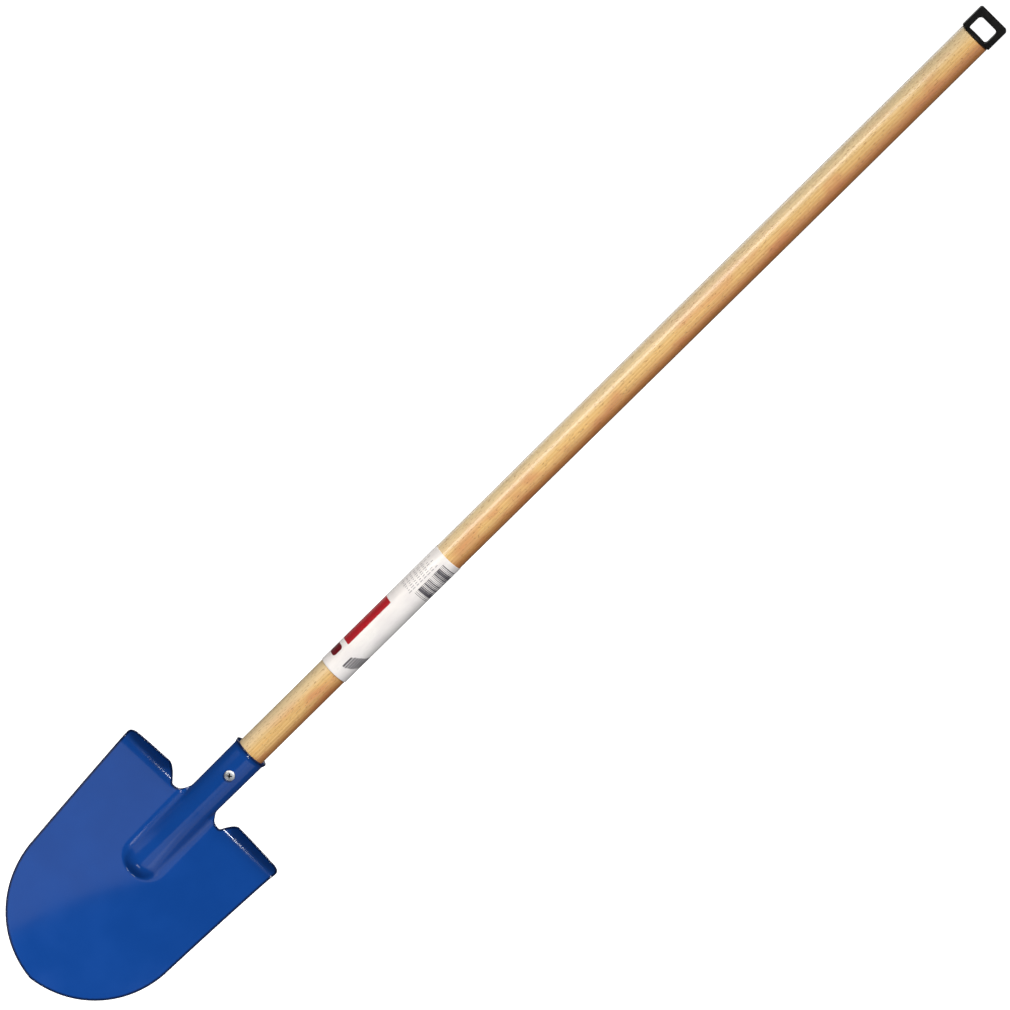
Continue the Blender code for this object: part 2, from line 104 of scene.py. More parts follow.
def smooth(share: float) -> float:
    """Ease from 0 to 1 with level ends."""
    share = min(1.0, max(0.0, share))
    return share * share * (3.0 - 2.0 * share)


def between(low: float, high: float, share: float) -> float:
    """Straight mix of two values."""
    return low + (high - low) * share


def socket_of(sockets: Iterable[Any], key: str) -> Any:
    """Find the socket in use that has a name or identifier."""
    return next(item for item in sockets if key in (item.identifier, item.name) and item.enabled)


def feed(tree: bpy.types.NodeTree, value: Any, socket: Any) -> None:
    """Link another node's output to a socket, or give the socket a plain value."""
    if isinstance(value, bpy.types.NodeSocket):
        tree.links.new(value, socket)
    else:
        socket.default_value = value


def add_node(tree: bpy.types.NodeTree, kind: str, settings: dict[str, Any] | None = None,
             links: dict[str, Any] | None = None) -> Any:
    """Add a node with its settings and what its inputs are fed.

    Args:
        tree: the node tree to add to.
        kind: Blender's name for the node type.
        settings: the node's own properties by name.
        links: input names, each with the socket that feeds it or its plain value.

    Returns:
        The new node.
    """
    node = tree.nodes.new(kind)
    for name, value in (settings or {}).items():
        setattr(node, name, value)
    for key, value in (links or {}).items():
        feed(tree, value, socket_of(node.inputs, key))
    return node


def result(node: Any, key: str | None = None) -> Any:
    """A node's output by name, or its first one in use."""
    if key is None:
        return next(item for item in node.outputs if item.enabled)
    return socket_of(node.outputs, key)


def add_piece(name: str, mesh: bpy.types.Mesh) -> bpy.types.Object:
    """Put a mesh in the scene as an object at the origin."""
    piece = bpy.data.objects.new(name, mesh)
    bpy.context.scene.collection.objects.link(piece)
    return piece


def mesh_from(name: str, points: Sequence[Any], edges: Sequence[Any],
              faces: Sequence[Any]) -> bpy.types.Mesh:
    """Make a mesh from plain lists."""
    mesh = bpy.data.meshes.new(name)
    mesh.from_pydata([tuple(point) for point in points], edges, faces)
    mesh.update()
    return mesh


def settle(piece: bpy.types.Object, crease: float = 35.0) -> None:
    """Turn a piece's evaluated shape into its plain mesh, smooth but for its real corners.

    The empty material slot that a tree's own mesh starts with is dropped.

    Args:
        piece: the object, whose modifiers are dropped.
        crease: angle in degrees past which an edge stays sharp.
    """
    graph = bpy.context.evaluated_depsgraph_get()
    mesh = bpy.data.meshes.new_from_object(piece.evaluated_get(graph), depsgraph=graph)
    piece.modifiers.clear()
    piece.data = mesh
    while mesh.materials and mesh.materials[0] is None:
        mesh.materials.pop(index=0)
    mesh.shade_smooth()
    mesh.set_sharp_from_angle(angle=radians(crease))


def hand_over(piece: bpy.types.Object, node: str | None = None) -> None:
    """Ride a finished piece on the tool's one body.

    Args:
        piece: the finished object.
        node: the CAD node that it stands for, if any.
    """
    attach(piece, "root")
    if node:
        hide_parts(node)
    piece.data.calc_loop_triangles()
    LOG.info("%s: %d triangles", piece.name, len(piece.data.loop_triangles))


# ---------------------------------------------------------------- outlines in a flat plane

def rounded_corner(before: Vector, corner: Vector, after: Vector, radius: float,
                   segments: int) -> list[Vector]:
    """Points of an arc that rounds one corner of an outline.

    Args:
        before: the point ahead of the corner.
        corner: the corner.
        after: the point past it.
        radius: the arc's radius.
        segments: how many steps the arc takes.

    Returns:
        The arc's points in the outline's direction.
    """
    to_before = (before - corner).normalized()
    to_after = (after - corner).normalized()
    half_angle = 0.5 * to_before.angle(to_after)
    centre = corner + (to_before + to_after).normalized() * (radius / sin(half_angle))
    reach = radius * cos(half_angle) / sin(half_angle)
    start = corner + to_before * reach - centre
    end = corner + to_after * reach - centre
    return [centre + start.lerp(end, step / segments).normalized() * radius
            for step in range(segments + 1)]


def spaced_line(start: Vector, end: Vector, step: float) -> list[Vector]:
    """Points from start up to but not including end, no further apart than step."""
    count = max(1, ceil((end - start).length / step))
    return [start.lerp(end, index / count) for index in range(count)]


def rounded_outline(corners: Sequence[Vector], radii: Sequence[float], step: float,
                    segments: int) -> list[Vector]:
    """A closed outline with rounded corners and evenly spaced points.

    Args:
        corners: the corners, anticlockwise.
        radii: a radius for each corner.
        step: the most that two points on a straight run may be apart.
        segments: how many steps each rounded corner takes.

    Returns:
        The outline's points.
    """
    arcs = []
    for index, corner in enumerate(corners):
        after = corners[(index + 1) % len(corners)]
        if radii[index] > 0.0:
            arcs.append(rounded_corner(corners[index - 1], corner, after, radii[index], segments))
        else:
            arcs.append([corner])
    points = []
    for index, arc in enumerate(arcs):
        following = arcs[(index + 1) % len(arcs)]
        points += arc[:-1] + spaced_line(arc[-1], following[0], step)
    return points


def rectangle(left: float, right: float, low: float, high: float) -> list[Vector]:
    """A rectangle's corners, anticlockwise from the lower left."""
    return [Vector((left, low)), Vector((right, low)), Vector((right, high)), Vector((left, high))]


def outward(points: Sequence[Vector], index: int) -> Vector:
    """Unit direction out of an anticlockwise outline at one of its points."""
    run = points[(index + 1) % len(points)] - points[index - 1]
    return Vector((run.y, -run.x)).normalized()


def lattice(left: float, right: float, low: float, high: float, step: float,
            squeeze: float = 1.0) -> list[Vector]:
    """Points of an even triangular lattice over a rectangle.

    Args:
        left: lowest first coordinate.
        right: highest first coordinate.
        low: lowest second coordinate.
        high: highest second coordinate.
        step: spacing along the second coordinate's rows.
        squeeze: how much closer together the points of one row are.

    Returns:
        The lattice's points.
    """
    points = []
    rise = step * sqrt(0.75)
    across = step * squeeze
    columns = ceil((right - left) / across)
    for row in range(ceil((high - low) / rise)):
        start = left + 0.5 * across * (row % 2)
        points += [Vector((start + column * across, low + row * rise)) for column in range(columns + 1)]
    return points


def filled(loops: Sequence[Sequence[Vector]], inner: Sequence[Vector],
           clearance: float) -> tuple[list[Vector], list[tuple[int, ...]], list[list[int]]]:
    """Fill outlines with even triangles.

    Args:
        loops: the outer outline, anticlockwise, then any hole, clockwise.
        inner: lattice points, of which those clear of the outlines are kept.
        clearance: how close to an outline's point a lattice point may lie.

    Returns:
        The points, the triangles, and each loop as point indices.
    """
    edge_points = [point for loop in loops for point in loop]
    near = KDTree(len(edge_points))
    for index, point in enumerate(edge_points):
        near.insert((point.x, point.y, 0.0), index)
    near.balance()
    kept = [point for point in inner if near.find((point.x, point.y, 0.0))[2] > clearance]
    edges = []
    loop_indices = []
    start = 0
    for loop in loops:
        ring = list(range(start, start + len(loop)))
        edges += list(zip(ring, ring[1:] + ring[:1]))
        loop_indices.append(ring)
        start += len(loop)
    flat, _, faces, origins, _, _ = delaunay_2d_cdt(edge_points + kept, edges, [], FILL_INSIDE,
                                                    FLAT_TOLERANCE)
    for hole in loops[1:]:
        centre = sum(hole, Vector((0.0, 0.0))) / len(hole)
        spans = [max(abs(point[axis] - centre[axis]) for point in hole) for axis in (0, 1)]
        faces = [face for face in faces if not in_ellipse(flat, face, centre, spans)]
    used = sorted({index for face in faces for index in face})
    new_index = {old: new for new, old in enumerate(used)}
    placed = {source: new_index[out] for out, sources in enumerate(origins) if out in new_index
              for source in sources}
    points = [flat[index] for index in used]
    triangles = [tuple(new_index[index] for index in face) for face in faces]
    return points, triangles, [[placed[index] for index in ring] for ring in loop_indices]


def in_ellipse(flat: Sequence[Vector], face: Sequence[int], centre: Vector,
               spans: Sequence[float]) -> bool:
    """True when a face's middle lies in an upright ellipse."""
    middle = sum((flat[index] for index in face), Vector((0.0, 0.0))) / len(face) - centre
    return hypot(middle.x / spans[0], middle.y / spans[1]) < 1.0


# ---------------------------------------------------------------- geometry node trees

def new_tree(name: str, inputs: dict[str, str]) -> tuple[bpy.types.NodeTree, Any, Any]:
    """Start a Geometry Nodes tree that takes a geometry and named inputs and gives a geometry.

    Args:
        name: the tree's name.
        inputs: each further input's name and socket type.

    Returns:
        The tree, its input node and its output node.
    """
    tree = bpy.data.node_groups.new(name, "GeometryNodeTree")
    tree.interface.new_socket(name="Geometry", in_out="INPUT", socket_type="NodeSocketGeometry")
    for label, kind in inputs.items():
        tree.interface.new_socket(name=label, in_out="INPUT", socket_type=kind)
    tree.interface.new_socket(name="Geometry", in_out="OUTPUT", socket_type="NodeSocketGeometry")
    return tree, tree.nodes.new("NodeGroupInput"), tree.nodes.new("NodeGroupOutput")


def run_tree(piece: bpy.types.Object, tree: bpy.types.NodeTree, values: dict[str, Any]) -> None:
    """Give a piece a Geometry Nodes modifier with its inputs set by identifier.

    Args:
        piece: the object.
        tree: the tree to run.
        values: each named input's value.
    """
    modifier = piece.modifiers.new(tree.name, "NODES")
    modifier.node_group = tree
    for item in tree.interface.items_tree:
        if item.in_out == "INPUT" and item.name in values:
            modifier[item.identifier] = values[item.name]


def finish_tree(tree: bpy.types.NodeTree, geometry: Any, material: Any, output: Any) -> None:
    """End a tree in plain geometry that wears its material."""
    plain = add_node(tree, "GeometryNodeRealizeInstances", links={"Geometry": geometry})
    dressed = add_node(tree, "GeometryNodeSetMaterial", links={
        "Geometry": result(plain), "Material": material})
    tree.links.new(result(dressed), output.inputs[0])


def math_node(tree: bpy.types.NodeTree, operation: str, first: Any, second: Any = 0.0) -> Any:
    """The result of one sum on two sockets or values."""
    node = add_node(tree, "ShaderNodeMath", {"operation": operation}, {"Value": first})
    feed(tree, second, node.inputs[1])
    return result(node)


def whole_node(tree: bpy.types.NodeTree, operation: str, first: Any, second: Any) -> Any:
    """The result of one whole-number sum on two sockets or values."""
    node = add_node(tree, "FunctionNodeIntegerMath", {"operation": operation}, {"Value": first})
    feed(tree, second, node.inputs[1])
    return result(node)


def turning_tree() -> bpy.types.NodeTree:
    """Tree that turns a section, a line of points at (radius, 0, z), round the Z axis.

    Returns:
        The tree, with inputs Sides and Material.
    """
    tree, given, output = new_tree("turn a section", {
        "Sides": "NodeSocketInt", "Material": "NodeSocketMaterial"})
    size = add_node(tree, "GeometryNodeAttributeDomainSize", links={
        "Geometry": result(given, "Geometry")})
    rows = result(size, "Point Count")
    sides = result(given, "Sides")
    grid = add_node(tree, "GeometryNodeMeshGrid", links={
        "Vertices X": whole_node(tree, "ADD", sides, 1), "Vertices Y": rows})
    index = result(add_node(tree, "GeometryNodeInputIndex"))
    section = add_node(tree, "GeometryNodeSampleIndex", {"data_type": "FLOAT_VECTOR"}, {
        "Geometry": result(given, "Geometry"),
        "Value": result(add_node(tree, "GeometryNodeInputPosition")),
        "Index": whole_node(tree, "MODULO", index, rows)})
    split = add_node(tree, "ShaderNodeSeparateXYZ", links={"Vector": result(section)})
    turn = math_node(tree, "DIVIDE", whole_node(tree, "DIVIDE_FLOOR", index, rows), sides)
    angle = math_node(tree, "MULTIPLY", turn, 2.0 * pi)
    radius = result(split, "X")
    place = add_node(tree, "ShaderNodeCombineXYZ", links={
        "X": math_node(tree, "MULTIPLY", radius, math_node(tree, "COSINE", angle)),
        "Y": math_node(tree, "MULTIPLY", radius, math_node(tree, "SINE", angle)),
        "Z": result(split, "Z")})
    moved = add_node(tree, "GeometryNodeSetPosition", links={
        "Geometry": result(grid, "Mesh"), "Position": result(place)})
    closed = add_node(tree, "GeometryNodeMergeByDistance", links={
        "Geometry": result(moved), "Distance": WELD})
    finish_tree(tree, result(closed), result(given, "Material"), output)
    return tree


def thread_tree() -> bpy.types.NodeTree:
    """Tree that winds a screw's thread, a helix with a sharp ridge.

    Returns:
        The tree, with inputs Turns, Radius, Length, Ridge and Material.
    """
    tree, given, output = new_tree("wind a thread", {
        "Turns": "NodeSocketFloat", "Radius": "NodeSocketFloat", "Length": "NodeSocketFloat",
        "Ridge": "NodeSocketFloat", "Material": "NodeSocketMaterial"})
    helix = add_node(tree, "GeometryNodeCurveSpiral", links={
        "Resolution": 24, "Rotations": result(given, "Turns"), "Start Radius": result(given, "Radius"),
        "End Radius": result(given, "Radius"), "Height": result(given, "Length")})
    ridge = add_node(tree, "GeometryNodeCurvePrimitiveCircle", links={
        "Resolution": 4, "Radius": result(given, "Ridge")})
    swept = add_node(tree, "GeometryNodeCurveToMesh", links={
        "Curve": result(helix), "Profile Curve": result(ridge, "Curve"), "Fill Caps": True})
    finish_tree(tree, result(swept), result(given, "Material"), output)
    return tree


def wrapping_tree() -> bpy.types.NodeTree:
    """Tree that wraps flat print round the handle.

    The print lies flat with x along the handle's girth, y up off the film and z up the handle. x = 0
    is the front, and a positive x runs to the right.

    Returns:
        The tree, with inputs Radius and Material.
    """
    tree, given, output = new_tree("wrap round the handle", {
        "Radius": "NodeSocketFloat", "Material": "NodeSocketMaterial"})
    split = add_node(tree, "ShaderNodeSeparateXYZ", links={
        "Vector": result(add_node(tree, "GeometryNodeInputPosition"))})
    angle = math_node(tree, "DIVIDE", result(split, "X"), result(given, "Radius"))
    reach = math_node(tree, "ADD", result(given, "Radius"), result(split, "Y"))
    place = add_node(tree, "ShaderNodeCombineXYZ", links={
        "X": math_node(tree, "MULTIPLY", reach, math_node(tree, "SINE", angle)),
        "Y": math_node(tree, "MULTIPLY", math_node(tree, "MULTIPLY", reach, -1.0),
                       math_node(tree, "COSINE", angle)),
        "Z": result(split, "Z")})
    wrapped = add_node(tree, "GeometryNodeSetPosition", links={
        "Geometry": result(given, "Geometry"), "Position": result(place)})
    finish_tree(tree, result(wrapped), result(given, "Material"), output)
    return tree


def bars_tree() -> bpy.types.NodeTree:
    """Tree that lays rows of flat bars whose width changes from bar to bar.

    Returns:
        The tree, with inputs Count, Pitch, Start, Bar, Thinnest, Thickest, Seed and Material. Bar is
        a bar's full size, whose z part the random width then scales.
    """
    tree, given, output = new_tree("lay bars", {
        "Count": "NodeSocketInt", "Pitch": "NodeSocketVector", "Start": "NodeSocketVector",
        "Bar": "NodeSocketVector", "Thinnest": "NodeSocketVector", "Thickest": "NodeSocketVector",
        "Seed": "NodeSocketInt", "Material": "NodeSocketMaterial"})
    line = add_node(tree, "GeometryNodeMeshLine", {"mode": "OFFSET"}, {
        "Count": result(given, "Count"), "Start Location": result(given, "Start"),
        "Offset": result(given, "Pitch")})
    bar = add_node(tree, "GeometryNodeMeshCube", links={
        "Size": result(given, "Bar"), "Vertices X": 24, "Vertices Y": 2, "Vertices Z": 2})
    width = add_node(tree, "FunctionNodeRandomValue", {"data_type": "FLOAT_VECTOR"}, {
        "Min": result(given, "Thinnest"), "Max": result(given, "Thickest"),
        "Seed": result(given, "Seed")})
    laid = add_node(tree, "GeometryNodeInstanceOnPoints", links={
        "Points": result(line), "Instance": result(bar, "Mesh"), "Scale": result(width)})
    finish_tree(tree, result(laid), result(given, "Material"), output)
    return tree


# ---------------------------------------------------------------- finishes

@dataclass(frozen=True)
class Finish:
    """A surface finish: what every material here shares."""

    name: str

    def start(self) -> tuple[bpy.types.NodeTree, Any, Any, bpy.types.Material]:
        """Start the material.

        Returns:
            Its tree, its Principled shader, its Object coordinates and the material.
        """
        material = bpy.data.materials.new(self.name)
        material.use_nodes = True
        tree = material.node_tree
        place = add_node(tree, "ShaderNodeTexCoord")
        return tree, tree.nodes["Principled BSDF"], result(place, "Object"), material

    @staticmethod
    def noise(tree: bpy.types.NodeTree, place: Any, size: Sequence[float], detail: float = 2.0) -> Any:
        """Soft random value whose blots have a real size.

        Args:
            tree: the material's tree.
            place: the coordinates to read.
            size: a blot's width along x, y and z in metres.
            detail: how many finer layers it has.

        Returns:
            The value's socket, about 0.5 on average.
        """
        fitted = add_node(tree, "ShaderNodeMapping", links={
            "Vector": place, "Scale": [1.0 / length for length in size]})
        blots = add_node(tree, "ShaderNodeTexNoise", links={
            "Vector": result(fitted), "Scale": 1.0, "Detail": detail})
        return result(blots, "Fac")

    @staticmethod
    def spread(tree: bpy.types.NodeTree, value: Any, low: float, high: float,
               start: float = 0.3, end: float = 0.7) -> Any:
        """Stretch a value between two others, eased towards its ends."""
        node = add_node(tree, "ShaderNodeMapRange", {"interpolation_type": "SMOOTHSTEP"}, {
            "Value": value, "From Min": start, "From Max": end, "To Min": low, "To Max": high})
        return result(node)

    @staticmethod
    def blend(tree: bpy.types.NodeTree, share: Any, first: Any, second: Any, mode: str = "MIX") -> Any:
        """Mix two colours by a share."""
        node = add_node(tree, "ShaderNodeMix", {"data_type": "RGBA", "blend_type": mode}, {
            "Factor": share, "A": first, "B": second})
        return result(node)

    @staticmethod
    def bump(tree: bpy.types.NodeTree, height: Any, depth: float, under: Any = None) -> Any:
        """Raise a surface by a height between 0 and 1.

        Args:
            tree: the material's tree.
            height: the height's socket.
            depth: what a height of 1 stands for, in metres.
            under: another bump's normal that this one lies on, if any.

        Returns:
            The new normal's socket.
        """
        links = {"Height": height, "Distance": depth, "Strength": 1.0}
        if under is not None:
            links["Normal"] = under
        return result(add_node(tree, "ShaderNodeBump", links=links))


@dataclass(frozen=True)
class StovedEnamel(Finish):
    """Blue enamel sprayed and stoved on pressed steel.

    Its gloss is broken by fine orange peel, and a band of painted shade darkens it along the sheet's
    edges.
    """

    name: str = "stoved blue enamel on pressed steel"
    colour: str = "0C3F8C"
    thin_colour: str = "0E4291"
    # painted shade: the dark colour laid along the sheet's edges
    painted_edge_shade: str = "071A42"
    peel_size: float = 2.2 * MM      # drawn twice as coarse as real peel, so that it shows
    peel_depth: float = 0.006 * MM
    cloud_size: float = 45.0 * MM
    edge_shade_width: float = 1.7 * MM

    def make(self) -> bpy.types.Material:
        """Build the material."""
        tree, shader, place, material = self.start()
        cloud = self.noise(tree, place, [self.cloud_size] * 3)
        body = self.blend(tree, self.spread(tree, cloud, 0.0, 1.0), linear(self.colour),
                          linear(self.thin_colour))
        # painted shade: the enamel darkens towards the sheet's nearest edge
        reach = add_node(tree, "ShaderNodeAttribute", {"attribute_name": "edge_reach"})
        run = self.spread(tree, result(reach, "Fac"), 1.0, 0.0, 0.0, self.edge_shade_width)
        coat = self.blend(tree, run, body, linear(self.painted_edge_shade))
        tree.links.new(coat, shader.inputs["Base Color"])
        fine = self.noise(tree, place, [self.peel_size] * 3, 1.0)
        tree.links.new(self.spread(tree, cloud, 0.11, 0.15), shader.inputs["Roughness"])
        tree.links.new(self.bump(tree, fine, self.peel_depth), shader.inputs["Normal"])
        return material


@dataclass(frozen=True)
class LacqueredBeech(Finish):
    """Turned beech under clear lacquer.

    Long pale and honey-coloured growth bands, fine fibres and short dark ray flecks lie under a glossy
    coat whose slow waves make the light's reflection waver. A painted sheen makes the handle's left
    side paler.
    """

    name: str = "turned beech under clear lacquer"
    pale: str = "E4BC7A"
    honey: str = "D8A658"
    ruddy: str = "D08A58"
    # painted sheen: a paler, greyer colour over the handle's left side
    painted_sheen: str = "E4D1AA"
    heartwood: str = "BC6F37"
    sheen_side: tuple[float, float] = (-16.0 * MM, 3.0 * MM)      # painted sheen, from all to none, across the handle
    heart_side: tuple[float, float] = (-2.0 * MM, 11.0 * MM)    # from none to all, at the upper end
    heart_slope: float = 0.006       # how far the heartwood drifts to the right on the way down
    fleck: str = "8F5A2C"
    ring_spacing: float = 3.4 * MM
    ring_stretch: float = 0.05       # how much less the rings change along the handle than across it
    pith_away: float = 46.0 * MM     # how far the tree's heart lay from the handle's axis
    fibre_width: float = 0.9 * MM    # drawn wider than real fibres, so that they show
    fibre_length: float = 60.0 * MM
    patch_width: float = 22.0 * MM
    patch_length: float = 55.0 * MM
    fleck_width: float = 0.8 * MM
    fleck_length: float = 4.0 * MM
    wave_depth: float = 0.38 * MM    # drawn deeper than real lacquer lies
    wave_length: float = 26.0 * MM

    def make(self) -> bpy.types.Material:
        """Build the material."""
        tree, shader, place, material = self.start()
        pith = add_node(tree, "ShaderNodeMapping", links={
            "Vector": place, "Location": (self.pith_away, 0.4 * self.pith_away, 0.0),
            "Scale": (1.0, 1.0, self.ring_stretch)})
        rings = add_node(tree, "ShaderNodeTexWave", {"wave_type": "RINGS", "rings_direction": "Z",
                                                     "wave_profile": "SAW"}, {
            "Vector": result(pith), "Scale": 0.1 * pi / self.ring_spacing, "Distortion": 1.6,
            "Detail": 1.0, "Detail Scale": 0.35})
        bands = self.spread(tree, result(rings, "Fac"), 0.0, 0.8, 0.1, 1.0)
        wood = self.blend(tree, bands, linear(self.pale), linear(self.honey))
        patch = self.noise(tree, place, (self.patch_width, self.patch_width, self.patch_length))
        share = self.spread(tree, patch, 0.0, 0.75, 0.46, 0.68)
        wood = self.blend(tree, share, wood, linear(self.ruddy))
        split = add_node(tree, "ShaderNodeSeparateXYZ", links={"Vector": place})
        across = result(split, "X")
        # painted sheen: the left side is blended towards the pale colour
        sheen = self.spread(tree, across, 0.85, 0.0, *self.sheen_side)
        wood = self.blend(tree, sheen, wood, linear(self.painted_sheen))
        drift = math_node(tree, "MULTIPLY", result(split, "Z"), self.heart_slope)
        heart = self.spread(tree, math_node(tree, "ADD", across, drift), 0.0, 0.8, *self.heart_side)
        wood = self.blend(tree, heart, wood, linear(self.heartwood))
        fibre = self.noise(tree, place, (self.fibre_width, self.fibre_width, self.fibre_length), 3.0)
        streak = self.spread(tree, fibre, 0.88, 1.06)
        wood = self.blend(tree, 1.0, wood, self.grey(tree, streak), "MULTIPLY")
        flecks = self.noise(tree, place, (self.fleck_width, self.fleck_width, self.fleck_length), 0.0)
        share = self.spread(tree, flecks, 0.0, 0.55, 0.66, 0.76)
        wood = self.blend(tree, share, wood, linear(self.fleck))
        tree.links.new(wood, shader.inputs["Base Color"])
        tree.links.new(self.spread(tree, fibre, 0.42, 0.56), shader.inputs["Roughness"])
        tree.links.new(self.bump(tree, fibre, 0.01 * MM), shader.inputs["Normal"])
        wave = self.noise(tree, place, (self.wave_length, self.wave_length, 2.0 * self.wave_length), 1.0)
        tree.links.new(self.bump(tree, wave, self.wave_depth), shader.inputs["Coat Normal"])
        shader.inputs["Coat Weight"].default_value = 1.0
        shader.inputs["Coat Roughness"].default_value = 0.2
        return material

    @staticmethod
    def grey(tree: bpy.types.NodeTree, value: Any) -> Any:
        """A grey of a value."""
        return result(add_node(tree, "ShaderNodeCombineColor", links={
            "Red": value, "Green": value, "Blue": value}))


@dataclass(frozen=True)
class ZincPlate(Finish):
    """Bright zinc plate on a cold-headed steel screw: pale cloudy metal, with painted shade down in the
    recess.
    """

    name: str = "bright zinc plate on steel"
    bright: str = "E3E6EA"
    dull: str = "C9CED4"
    recess_shade_colour: str = "17181A"
    cloud_size: float = 1.4 * MM

    def make(self) -> bpy.types.Material:
        """Build the material."""
        tree, shader, place, material = self.start()
        cloud = self.noise(tree, place, [self.cloud_size] * 3, 3.0)
        tint = self.blend(tree, self.spread(tree, cloud, 0.0, 1.0), linear(self.bright),
                          linear(self.dull))
        # painted shade: the recess's vertices are darkened by their depth
        recess = add_node(tree, "ShaderNodeAttribute", {"attribute_name": "recess"})
        shaded_tint = self.blend(tree, result(recess, "Fac"), tint, linear(self.recess_shade_colour))
        tree.links.new(shaded_tint, shader.inputs["Base Color"])
        tree.links.new(self.spread(tree, cloud, 0.42, 0.55), shader.inputs["Roughness"])
        tree.links.new(self.bump(tree, cloud, 0.004 * MM), shader.inputs["Normal"])
        shader.inputs["Metallic"].default_value = 1.0
        return material


@dataclass(frozen=True)
class MouldedPolypropylene(Finish):
    """Black polypropylene from a spark-eroded mould.

    A fine even grain takes the shine off, and a parting line runs round the loop's middle.
    """

    name: str = "black polypropylene from a spark-eroded mould"
    colour: str = "050506"
    scuffed: str = "0D0D0E"
    grain_size: float = 0.35 * MM
    scuff_size: float = 6.0 * MM
    parting_width: float = 0.18 * MM

    def make(self) -> bpy.types.Material:
        """Build the material."""
        tree, shader, place, material = self.start()
        scuff = self.noise(tree, place, [self.scuff_size] * 3, 4.0)
        tint = self.blend(tree, self.spread(tree, scuff, 0.0, 1.0, 0.45, 0.75), linear(self.colour),
                          linear(self.scuffed))
        tree.links.new(tint, shader.inputs["Base Color"])
        tree.links.new(self.spread(tree, scuff, 0.44, 0.58), shader.inputs["Roughness"])
        shader.inputs["Specular IOR Level"].default_value = 0.25
        split = add_node(tree, "ShaderNodeSeparateXYZ", links={"Vector": place})
        away = math_node(tree, "ABSOLUTE", result(split, "Y"))
        line = self.spread(tree, away, 1.0, 0.0, 0.5 * self.parting_width, self.parting_width)
        parting = self.bump(tree, line, 0.08 * MM)
        grain = self.noise(tree, place, [self.grain_size] * 3, 1.0)
        tree.links.new(self.bump(tree, grain, 0.02 * MM, parting), shader.inputs["Normal"])
        return material


@dataclass(frozen=True)
class PrintedFilm(Finish):
    """Polypropylene label film and the ink printed on it.

    A gloss coat over a flat colour, with the shallow waves of film rolled on by hand.
    """

    name: str = "white polypropylene label film"
    colour: str = "EFEDEE"
    second: str = "E6E3E6"
    mottle_size: float = 9.0 * MM
    wave_size: float = 14.0 * MM

    def make(self) -> bpy.types.Material:
        """Build the material."""
        tree, shader, place, material = self.start()
        mottle = self.noise(tree, place, (self.mottle_size, self.mottle_size, 3.0 * self.mottle_size),
                            3.0)
        tint = self.blend(tree, self.spread(tree, mottle, 0.0, 1.0), linear(self.colour),
                          linear(self.second))
        tree.links.new(tint, shader.inputs["Base Color"])
        tree.links.new(self.spread(tree, mottle, 0.26, 0.36), shader.inputs["Roughness"])
        wave = self.noise(tree, place, [self.wave_size] * 3, 1.0)
        tree.links.new(self.bump(tree, wave, 0.05 * MM), shader.inputs["Normal"])
        return material


@dataclass(frozen=True)
class PaintedFloor(Finish):
    """White painted studio floor, lit from within its paint so that it stays pale to the horizon."""

    name: str = "matt white studio floor paint"
    colour: str = "FFFFFF"
    hollow: str = "F4F4F4"           # in the hollows that the roller left
    nap_size: float = 4.0 * MM

    def make(self) -> bpy.types.Material:
        """Build the material."""
        tree, shader, place, material = self.start()
        roller = self.noise(tree, place, [self.nap_size] * 3, 3.0)
        tint = self.blend(tree, roller, linear(self.hollow), linear(self.colour))
        tree.links.new(tint, shader.inputs["Base Color"])
        tree.links.new(self.spread(tree, roller, 0.8, 0.95), shader.inputs["Roughness"])
        shader.inputs["Specular IOR Level"].default_value = 0.0
        shader.inputs["Emission Color"].default_value = linear(self.colour)
        shader.inputs["Emission Strength"].default_value = 1.0
        return material


# ---------------------------------------------------------------- blade

